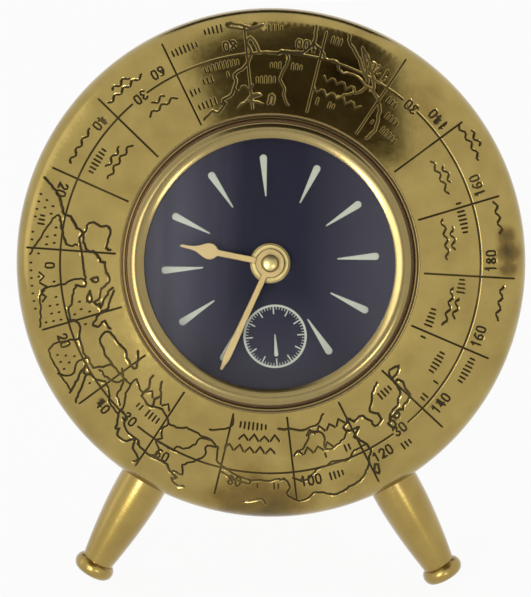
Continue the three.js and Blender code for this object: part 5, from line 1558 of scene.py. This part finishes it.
def drilled(mesh, holes):
    """Cuts round holes: each is a matrix whose Z axis the drill follows, a radius and two depths."""
    drills = []
    for matrix, radius, low, high in holes:
        drill = turned([(0, low), (radius, low), (radius, high), (0, high)], DRILL_SIDES, mesh.materials[0])
        drill.transform(CLOCK.inverted() @ matrix)
        drills.append(drill)
    return cut_away(mesh, drills)


pan_holes = [(axes, STUD_RADIUS + FIT, -DRILL_REACH, DRILL_REACH) for axes in leg_axes]
for index in range(SCREW_COUNT):
    turn = Matrix.Rotation(math.radians(SCREW_START + 360 / SCREW_COUNT * index), 4, "Z")
    place = CLOCK @ turn @ Matrix.Translation((SCREW_RING, 0, 0))
    pan_holes.append((place, SCREW_HOLE, -DRILL_REACH, DRILL_REACH))
pan_holes.append((PIVOT, PIVOT_HOLE, -DRILL_REACH, DRILL_REACH))
pan = drilled(turned(pan_profile(), RING_SIDES, spun_brass, ring=True), pan_holes)
place_piece("rear_pan_spun", pan, CLOCK, "case", "spun_brass", "rear_pan")

# %% Hatch and its knob
HATCH_EDGE = 16.393  # degrees from the axis
HATCH_SHEET = 1.2
HATCH_STEPS = 14
HATCH_KNOB_PLACE = 24.0  # from the axis
HATCH_KNOB = [(0, 0.3), (3.5, 0.3), (3.6, 0.45), (3.3, 0.8), (2.6, 1.4), (2.4, 2.0), (2.5, 2.5), (3.2, 3.0)]
HATCH_KNOB += [(3.8, 3.4), (4.0, 3.8), (3.9, 4.3), (3.4, 4.7), (2.4, 4.93), (1.2, 5.0), (0, 5.0)]
HATCH_KNOB_SIDES = 48
hatch_inner = BACK_RADIUS + FIT
hatch_outer = hatch_inner + HATCH_SHEET
hatch_profile = arc(0, BACK_CENTRE, hatch_outer, -90, -90 + HATCH_EDGE, HATCH_STEPS)
hatch_profile += arc(0, BACK_CENTRE, hatch_inner, -90 + HATCH_EDGE, -90, HATCH_STEPS)
hatch = drilled(turned(hatch_profile, RING_SIDES, spun_brass), [(PIVOT, PIVOT_HOLE, -SHEET, DRILL_REACH)])
place_piece("hatch_cover_spun", hatch, CLOCK, "hatch", "spun_brass", "hatch_cover")
knob_angle = math.asin(HATCH_KNOB_PLACE / hatch_outer)
knob_out = Vector((0, -math.sin(knob_angle), -math.cos(knob_angle)))
hatch_knob_axes = axes_along(
    CLOCK.to_3x3().normalized() @ knob_out,
    CLOCK @ (Vector((0, 0, BACK_CENTRE)) + knob_out * hatch_outer),
)
hatch_knob = turned(HATCH_KNOB, HATCH_KNOB_SIDES, turned_brass)
place_piece("hatch_knob_turned", hatch_knob, hatch_knob_axes, "hatch", "turned_brass", "hatch_knob")

# %% [markdown]
# ## Steel, rubber, plastic and the rest of the movement
# The pieces inside are seen when the hatch swings open. Their CAD solids have the right shape, so most of
# them keep it and get a finish: bright steel, black rubber, moulded plastic, wound copper, solder resist
# and a printed cell jacket. A pattern too fine to show, such as mould grain, is drawn coarser.

# %% Finishes of the movement


def plain_finish(name, bright, dull, grain_mm, smooth, satin, bump, **sockets):
    """A finish with two close tones, an uneven gloss and a fine grain, all from one noise."""
    material, tree, surface = new_finish(name, **sockets)
    place = add_node(tree, "ShaderNodeTexCoord")
    grain = add_node(
        tree,
        "ShaderNodeTexNoise",
        {"Vector": place.outputs["Object"], "Scale": 1 / (grain_mm * MM), "Detail": 4.0, "Roughness": 0.6},
    )
    colour = add_node(
        tree, "ShaderNodeMix", {0: grain, 6: linear(bright), 7: linear(dull)}, data_type="RGBA"
    )
    rough = add_node(tree, "ShaderNodeMapRange", {"Value": grain, "To Min": smooth, "To Max": satin})
    skin = add_node(tree, "ShaderNodeBump", {"Height": grain, "Strength": bump, "Distance": 0.1 * MM})
    set_sockets(tree, surface, {"Base Color": colour.outputs[2], "Roughness": rough, "Normal": skin})
    return material


# Plated steel is a cool grey mirror, a little cloudy.
steel = plain_finish("bright_steel", "#A9ABAD", "#8F9193", 1.5, 0.22, 0.4, 0.08, Metallic=1.0)
# Rubber is matt and takes up nearly all light.
rubber = plain_finish("moulded_black_rubber", "#1D1D1E", "#151516", 0.8, 0.7, 0.9, 0.3, Metallic=0.0)
# The mould leaves black ABS with a soft sheen.
black_plastic = plain_finish("moulded_black_abs", "#2A2B2E", "#1F2023", 0.6, 0.45, 0.6, 0.3, Metallic=0.0)
# Acetal is milky and looks waxy.
white_plastic = plain_finish(
    "moulded_white_acetal", "#E8E6DE", "#DCDACF", 0.7, 0.4, 0.55, 0.2, Metallic=0.0
)
# Clear enamel keeps the wire red and glossy.
copper = plain_finish("enamelled_copper_wire", "#B4622F", "#8E4A22", 0.5, 0.25, 0.4, 0.3, Metallic=1.0)
# Solder resist is a thin green lacquer over glass cloth, half glossy.
board = plain_finish("green_solder_resist", "#2F6342", "#254E34", 1.2, 0.35, 0.5, 0.2, Metallic=0.0)
# The sleeve is printed foil, dark grey with a hint of metal.
jacket = plain_finish("printed_cell_jacket", "#464C52", "#393E43", 2.5, 0.3, 0.42, 0.1, Metallic=0.3)
FINISH_OF_SLOT = {
    "spun_brass": spun_brass,
    "turned_brass": turned_brass,
    "gilt_brass": gilt_brass,
    "black_rubber": rubber,
    "black_plastic": black_plastic,
    "white_plastic": white_plastic,
    "steel": steel,
    "copper_wire": copper,
    "green_board": board,
    "cell_jacket": jacket,
}
for part in frame["record"]["subparts"]:
    node = frame["nodes"][part["node"]]
    if not node.hide_render and part["material_slot"] in FINISH_OF_SLOT:
        node.data.materials.clear()
        node.data.materials.append(FINISH_OF_SLOT[part["material_slot"]])
print("finishes given to CAD nodes:", sum(not node.hide_render for node in frame["nodes"].values()))

# %% [markdown]
# ## Cell, setting knob and movement cover
# Three of the inner pieces are plain blocks in the CAD model and are seen first when the hatch is open. So
# the cell gets steel ends and a printed sleeve with a pale band, the knob gets ribs for the fingers, dealt
# round it by the node tree, and the cover gets a moulded rim, a ring round the knob and four round bosses.
# Their places are read from the CAD nodes, in the dial's own axes.

# %% Cell
CELL_SLEEVE, CELL_CAN, CELL_NUB = 7.2, 6.9, 2.7  # radii
CELL_NUB_LENGTH = 1.5
CELL_FOOT, CELL_SHOULDER = 1.0, 0.6  # the sleeve stops short of both ends
CELL_BAND = 12.0  # length of the pale band at the positive end
# The same foil, printed pale.
band = plain_finish("printed_cell_band", "#B9BDBF", "#ABAFB1", 2.5, 0.3, 0.42, 0.1, Metallic=0.2)


def box_in_dial(node):
    """Lowest and highest corner of a CAD node in the dial's own axes, in millimetres."""
    back = INSERT.inverted()
    spots = np.array([back @ vertex.co for vertex in frame["nodes"][node].data.vertices])
    return spots.min(0), spots.max(0)


def cell_mesh(half):
    """An AA cell along Z with its positive end up: a steel can in a two-part printed sleeve."""
    shoulder = half - CELL_NUB_LENGTH
    low, high = -half + CELL_FOOT, shoulder - CELL_SHOULDER
    can = [(0, -half), (5.4, -half), (5.6, -half + 0.25), (6.3, -half + 0.25), (6.7, -half + 0.5)]
    can += [(CELL_CAN, low), (CELL_CAN, high), (6.4, shoulder), (3.1, shoulder), (CELL_NUB, shoulder + 0.2)]
    can += [(CELL_NUB, half - 0.3), (CELL_NUB - 0.3, half), (0, half)]
    join = high - CELL_BAND
    sleeve = [(CELL_CAN, low), (CELL_SLEEVE - 0.1, low - 0.1), (CELL_SLEEVE, low + 0.1)]
    sleeve += [(CELL_SLEEVE, join), (CELL_CAN, join)]
    ring = [(CELL_CAN, join), (CELL_SLEEVE, join), (CELL_SLEEVE, high), (7.0, high + 0.4), (6.5, shoulder)]
    ring += [(6.3, shoulder), (CELL_CAN, high)]
    return joined(
        [
            turned(can, LEG_SIDES, steel),
            turned(sleeve, LEG_SIDES, jacket, ring=True),
            turned(ring, LEG_SIDES, band, ring=True),
        ]
    )


cell_low, cell_high = box_in_dial("battery")
cell_axes = INSERT @ Matrix.Translation((cell_low + cell_high) / 2) @ Matrix.Rotation(math.pi / 2, 4, "Y")
cell = cell_mesh((cell_high[0] - cell_low[0]) / 2)
place_piece("battery_sleeved", cell, cell_axes, "cell", "cell_jacket", "battery")

# %% Setting knob
KNOB_CORE, KNOB_RIM, KNOB_BORE = 5.5, 5.95, 0.9  # radii
KNOB_BORE_DEPTH = 2.05
KNOB_RIBS = 40
KNOB_RIB_HALF, KNOB_RIB_SINK, KNOB_RIB_LOW, KNOB_RIB_CHAMFER = 0.22, 0.2, 0.6, 0.1


def knob_mesh(height):
    """A dished knob with ribs for the fingers, its open face up and a blind hole for its arbor."""
    dish = [(0, 0.5), (3.4, 0.5), (3.8, 0), (4.9, 0), (KNOB_CORE, 0.7), (KNOB_CORE, height)]
    dish += [(KNOB_BORE, height), (KNOB_BORE, height - KNOB_BORE_DEPTH), (0, height - KNOB_BORE_DEPTH)]
    rib = block(KNOB_RIB_HALF, KNOB_CORE - KNOB_RIB_SINK, KNOB_RIM)
    ribs = dealt(plate(rib, KNOB_RIB_LOW, height, KNOB_RIB_CHAMFER), KNOB_RIBS, black_plastic)
    return joined([turned(dish, LEG_SIDES, black_plastic), ribs])


knob_low, knob_high = box_in_dial("setting_knob")
knob_x, knob_y = (knob_low + knob_high)[:2] / 2
knob_axes = INSERT @ Matrix.Translation((knob_x, knob_y, knob_low[2]))
knob = knob_mesh(knob_high[2] - knob_low[2])
place_piece("setting_knob_ribbed", knob, knob_axes, "setting", "black_plastic", "setting_knob")

# %% Movement cover
COVER_CORNER = 5.0
COVER_CHAMFER = 0.2
COVER_RIM_INSET, COVER_RIM = 0.6, 1.2
RIB_HEIGHT, RIB_SINK, RIB_CHAMFER = 0.5, 0.2, 0.15
HALO_INNER, HALO_OUTER = KNOB_RIM + 1.0, KNOB_RIM + 1.7
HALO_SIDES = 72
BOSS_RADIUS, BOSS_INSET, BOSS_CHAMFER = 1.7, 4.5, 0.3
BOSS_SIDES = 32


def cover_mesh(low, high, x, y):
    """The movement's cover, its outer face up, with a rim, bosses and a ring round the knob at x and y."""
    right, base, top = high[0], low[1], high[1]
    thick = high[2] - low[2]
    rib_low, rib_top = thick - RIB_SINK, thick + RIB_HEIGHT
    edge = [(-right, base), (right, base), (right, top - COVER_CORNER), (right - COVER_CORNER, top)]
    edge += [(COVER_CORNER - right, top), (-right, top - COVER_CORNER)]
    bore = circle_loop(KNOB_BORE, DRILL_SIDES, x, y, clockwise=True)
    outer = offset_loop(edge, COVER_RIM_INSET)
    inner = offset_loop(edge, COVER_RIM_INSET + COVER_RIM)
    halo = circle_loop(HALO_OUTER, HALO_SIDES, x, y)
    halo_hole = circle_loop(HALO_INNER, HALO_SIDES, x, y, clockwise=True)
    pieces = [
        plate(edge, 0, thick, COVER_CHAMFER, [bore]),
        plate(outer, rib_low, rib_top, RIB_CHAMFER, [inner[::-1]]),
        plate(halo, rib_low, rib_top, RIB_CHAMFER, [halo_hole]),
    ]
    for boss_x in (BOSS_INSET - right, right - BOSS_INSET):
        for boss_y in (base + BOSS_INSET, top - BOSS_INSET - COVER_CORNER / 2):
            boss = circle_loop(BOSS_RADIUS, BOSS_SIDES, boss_x, boss_y)
            pieces.append(plate(boss, rib_low, thick + 2 * RIB_HEIGHT, BOSS_CHAMFER))
    for piece in pieces:
        piece.materials.append(white_plastic)
    return joined(pieces)


cover_low, cover_high = box_in_dial("movement_cover")
cover_axes = INSERT @ Matrix.Translation((0, 0, cover_high[2])) @ Matrix.Rotation(math.pi, 4, "Y")
cover = cover_mesh(cover_low, cover_high, -knob_x, knob_y)
place_piece("movement_cover_moulded", cover, cover_axes, "case", "white_plastic", "movement_cover")

# %% [markdown]
# ## Slotted screws
# Four round-headed screws hold the pan to the dome, and a larger one is the hatch's pivot. A screw is
# turned with its head down and then slotted. The dealer tree puts the small one in its four places.

# %% Screws
HEAD_STEPS = 6
HEAD_SIDE = 0.35  # share of a head's height that is straight side
RIM_SCREW = {"head": 2.4, "height": 1.5, "base": -2.2, "shank": 1.25, "end": 2.2, "sides": 40}
RIM_SLOT = (0.3, 0.6, 3.0)  # half its width, its depth and half its length
PIVOT_HEIGHT = 1.8
PIVOT_SCREW = {"head": 3.5, "height": PIVOT_HEIGHT, "base": 0, "shank": 1.5, "end": 6.4, "sides": 48}
PIVOT_SLOT = (0.4, 0.7, 4.5)


def slotted_screw(slot, head, height, base, shank, end, sides):
    """A screw along Z: a round head below its base, with a straight slot, and a plain shank above it."""
    half, depth, reach = slot
    top = base - height
    profile = [(0, top)]
    for step in range(1, HEAD_STEPS + 1):
        angle = math.radians(90 / HEAD_STEPS * step)
        rise = HEAD_SIDE + (1 - HEAD_SIDE) * math.cos(angle)
        profile.append((head * math.sin(angle), base - height * rise))
    screw = turned(profile + [(head, base), (shank, base), (shank, end), (0, end)], sides, steel)
    return cut_away(screw, [plate(block(reach, -half, half), top - 1, top + depth)])


rim_screw = slotted_screw(RIM_SLOT, **RIM_SCREW)
rim_screw.transform(Matrix.Translation((SCREW_RING, 0, 0)))
rim_screws = dealt(rim_screw, SCREW_COUNT, steel, start=math.radians(SCREW_START))
rim_nodes = [f"rim_screw_{number}" for number in range(1, SCREW_COUNT + 1)]
place_piece("rim_screws_slotted", rim_screws, CLOCK, "case", "steel", *rim_nodes)
pivot_screw = slotted_screw(PIVOT_SLOT, **PIVOT_SCREW)
pivot_screw.transform(Matrix.Translation((0, 0, PIVOT_HEIGHT)) @ Matrix.Rotation(math.pi, 4, "X"))
place_piece("hatch_pivot_slotted", pivot_screw, PIVOT, "case", "steel", "hatch_pivot_screw")

# %% [markdown]
# ## Floor, light and camera
# The studio is a pale floor in a white surround. The camera looks down on the leaning dial almost square to
# it, with a long lens. Polished metal shows what stands round it. So a large soft box gives the dome its
# sheen, a weak one at the left draws its rim, and two low ones give the legs their bright lines. Dark cards
# overhead and behind give the top of the dome its darker tone. The flat glass mirrors a card behind the
# camera, which fades from dark to pale.

# %% Floor and surround
FLOOR_HALF = 4  # metres
FLOOR_WHITE = 0.93  # how much of the floor that is seen is plain white
FIBRE_SIZE = 2.5  # millimetres, coarser than real paper, whose fibres are too fine to show
SURROUND_LIGHT = 0.62  # strength of the light that the surround casts
scene = bpy.context.scene
scene.view_settings.view_transform = "Standard"


def seen_directly(tree):
    """1 for rays from the eye and for what mirrors and glass show, 0 for light that is scattered."""
    path = add_node(tree, "ShaderNodeLightPath")
    seen = path.outputs["Is Camera Ray"]
    for other in ("Is Glossy Ray", "Is Transmission Ray"):
        either = add_node(tree, "ShaderNodeMath", {0: seen, 1: path.outputs[other]}, operation="MAXIMUM")
        seen = either.outputs[0]
    return seen


def flat_sheet(name, half_x, half_y):
    """A rectangle round the origin, as an object."""
    mesh = bpy.data.meshes.new(name)
    mesh.from_pydata([(x, y, 0) for x, y in block(half_x, -half_y, half_y)], [], [(0, 1, 2, 3)])
    return in_scene(name, mesh)


def make_floor():
    """White paper: matt and even, and as bright as the surround where the eye meets it."""
    floor = flat_sheet("floor", FLOOR_HALF, FLOOR_HALF)
    material, tree, surface = new_finish("pale_paper", Roughness=0.9, Specular_IOR_Level=0.2)
    place = add_node(tree, "ShaderNodeTexCoord")
    fibre = add_node(
        tree, "ShaderNodeTexNoise", {"Vector": place.outputs["Object"], "Scale": 1 / (FIBRE_SIZE * MM)}
    )
    tone = add_node(
        tree, "ShaderNodeMix", {0: fibre, 6: linear("#FBFBFA"), 7: linear("#F6F6F4")}, data_type="RGBA"
    )
    set_sockets(tree, surface, {"Base Color": tone.outputs[2]})
    white = add_node(tree, "ShaderNodeEmission", {"Color": linear("#FFFFFF"), "Strength": 1.0})
    share = add_node(tree, "ShaderNodeMath", {0: seen_directly(tree), 1: FLOOR_WHITE}, operation="MULTIPLY")
    pale = add_node(tree, "ShaderNodeMixShader", {0: share, 1: surface, 2: white})
    set_sockets(tree, tree.nodes["Material Output"], {"Surface": pale})
    floor.data.materials.append(material)


def make_world():
    """A surround that looks white and casts less light than it shows."""
    world = bpy.data.worlds.new("white_surround")
    scene.world = world
    world.use_nodes = True
    tree = world.node_tree
    tree.nodes.clear()
    strength = add_node(
        tree, "ShaderNodeMapRange", {"Value": seen_directly(tree), "To Min": SURROUND_LIGHT, "To Max": 1.0}
    )
    white = add_node(tree, "ShaderNodeBackground", {"Color": linear("#FFFFFF"), "Strength": strength})
    add_node(tree, "ShaderNodeOutputWorld", {"Surface": white})


make_floor()
make_world()
print("surround:", scene.world.name, "on a floor of", 2 * FLOOR_HALF, "m")

# %% Camera
IMAGE_WIDTH, IMAGE_HEIGHT = 531, 597
PIXEL = 0.2985 * MM  # size of a pixel at the dome's rim
DOME_PIXEL = (270.6, 262.6)  # where the middle of the dome's rim falls in the image
CAMERA_DISTANCE = 1.60
CAMERA_ELEVATION = math.radians(20.8)
CAMERA_AZIMUTH = math.radians(0.8)
CAMERA_ROLL = math.radians(0.35)
CAMERA_REACH = 20
SENSOR = 36.0


def aim(thing, place, target):
    """Puts a camera, lamp or card in its place and turns its face to a target."""
    thing.location = place
    thing.rotation_euler = (Vector(target) - Vector(place)).to_track_quat("-Z", "Y").to_euler()


def make_camera():
    """A long lens that puts the dome's rim where the image has it."""
    lens = bpy.data.cameras.new("camera")
    lens.sensor_fit = "HORIZONTAL"
    lens.sensor_width = SENSOR
    lens.lens = SENSOR * CAMERA_DISTANCE / (IMAGE_WIDTH * PIXEL)
    lens.clip_end = CAMERA_REACH
    camera = in_scene("camera", lens)
    ahead, aside = math.cos(CAMERA_AZIMUTH), math.sin(CAMERA_AZIMUTH)
    level = math.cos(CAMERA_ELEVATION)
    away = Vector((aside * level, -ahead * level, math.sin(CAMERA_ELEVATION)))
    right = Vector((ahead, aside, 0))
    up = away.cross(right)
    across = (IMAGE_WIDTH / 2 - DOME_PIXEL[0]) * PIXEL
    lower = (IMAGE_HEIGHT / 2 - DOME_PIXEL[1]) * PIXEL
    target = CLOCK.translation + right * across - up * lower
    aim(camera, CLOCK.translation + away * CAMERA_DISTANCE, target)
    camera.rotation_euler.rotate_axis("Z", CAMERA_ROLL)
    scene.camera = camera


make_camera()
print("camera at", [round(v, 3) for v in scene.camera.location], "lens", round(scene.camera.data.lens, 1))

# %% Lamps and cards
CURTAIN_FOLD = 1 / 70  # metres
CARD_GLOW = 0.4


def soft_box(name, place, size, power):
    """A rectangular lamp that faces the dome. Its size is in metres and its power in watts."""
    lamp = bpy.data.lights.new(name, "AREA")
    lamp.shape = "RECTANGLE"
    lamp.size, lamp.size_y = size
    lamp.energy = power
    aim(in_scene(name, lamp), place, CLOCK.translation)


def dark_card(name, place, size, shade):
    """A felt card that faces the dome: matt and dark, seen only in what mirrors it."""
    card = flat_sheet(name, size[0] / 2, size[1] / 2)
    aim(card, place, CLOCK.translation)
    card.visible_camera = False
    material, tree, surface = new_finish(name + "_felt", Base_Color=linear(shade), Roughness=0.95)
    card.data.materials.append(material)
    return card


def fading_card(name, place, size):
    """A dark card that fades to a pale curtain at its left and to grey at its right and lower edge."""
    card = dark_card(name, place, size, "#2A2A2E")
    tree = card.data.materials[0].node_tree
    where = add_node(tree, "ShaderNodeTexCoord")
    across = add_node(tree, "ShaderNodeSeparateXYZ", {0: where.outputs["Object"]})
    folds = add_node(
        tree,
        "ShaderNodeTexNoise",
        {"W": across.outputs["X"], "Scale": 1 / CURTAIN_FOLD, "Detail": 1.0},
        noise_dimensions="1D",
    )
    left = add_node(
        tree, "ShaderNodeMapRange", {"Value": across.outputs["X"], "From Min": -0.015, "From Max": -0.06}
    )
    curtain = add_node(
        tree, "ShaderNodeMapRange", {"Value": folds, "From Min": 0.3, "From Max": 0.6, "To Min": 0.7}
    )
    pale = add_node(tree, "ShaderNodeMath", {0: left, 1: curtain}, operation="MULTIPLY")
    right = add_node(
        tree,
        "ShaderNodeMapRange",
        {"Value": across.outputs["X"], "From Min": 0.02, "From Max": 0.07, "To Max": 0.65},
    )
    low = add_node(
        tree,
        "ShaderNodeMapRange",
        {"Value": across.outputs["Y"], "From Min": -0.01, "From Max": -0.07, "To Max": 0.5},
    )
    sides = add_node(tree, "ShaderNodeMath", {0: pale, 1: right}, operation="MAXIMUM")
    share = add_node(tree, "ShaderNodeMath", {0: sides, 1: low}, operation="MAXIMUM")
    shade = add_node(
        tree, "ShaderNodeMix", {0: share, 6: linear("#1E1E24"), 7: linear("#F4F0FF")}, data_type="RGBA"
    )
    tone = shade.outputs[2]
    sockets = {"Emission Strength": CARD_GLOW, "Base Color": tone, "Emission Color": tone}
    set_sockets(tree, tree.nodes["Principled BSDF"], sockets)


soft_box("strip_left", (-0.45, -1.14, 0.38), (0.52, 0.6), 3.6)
soft_box("rim_left", (-1.0, -0.1, 0.45), (0.36, 0.9), 0.6)
soft_box("low_left", (-0.44, -1.1, 0.11), (0.28, 0.14), 2.2)
soft_box("low_right", (0.42, -1.12, 0.11), (0.24, 0.14), 1.1)
dark_card("card_overhead", (0.11, -0.36, 0.88), (0.74, 0.68), "#474034")
dark_card("card_behind", (0.0, 0.87, 0.76), (0.9, 0.42), "#2A2620")
fading_card("card_behind_camera", (-0.022, -1.56, 0.635), (0.28, 0.28))
print("lamps:", [lamp.name for lamp in bpy.data.lights])
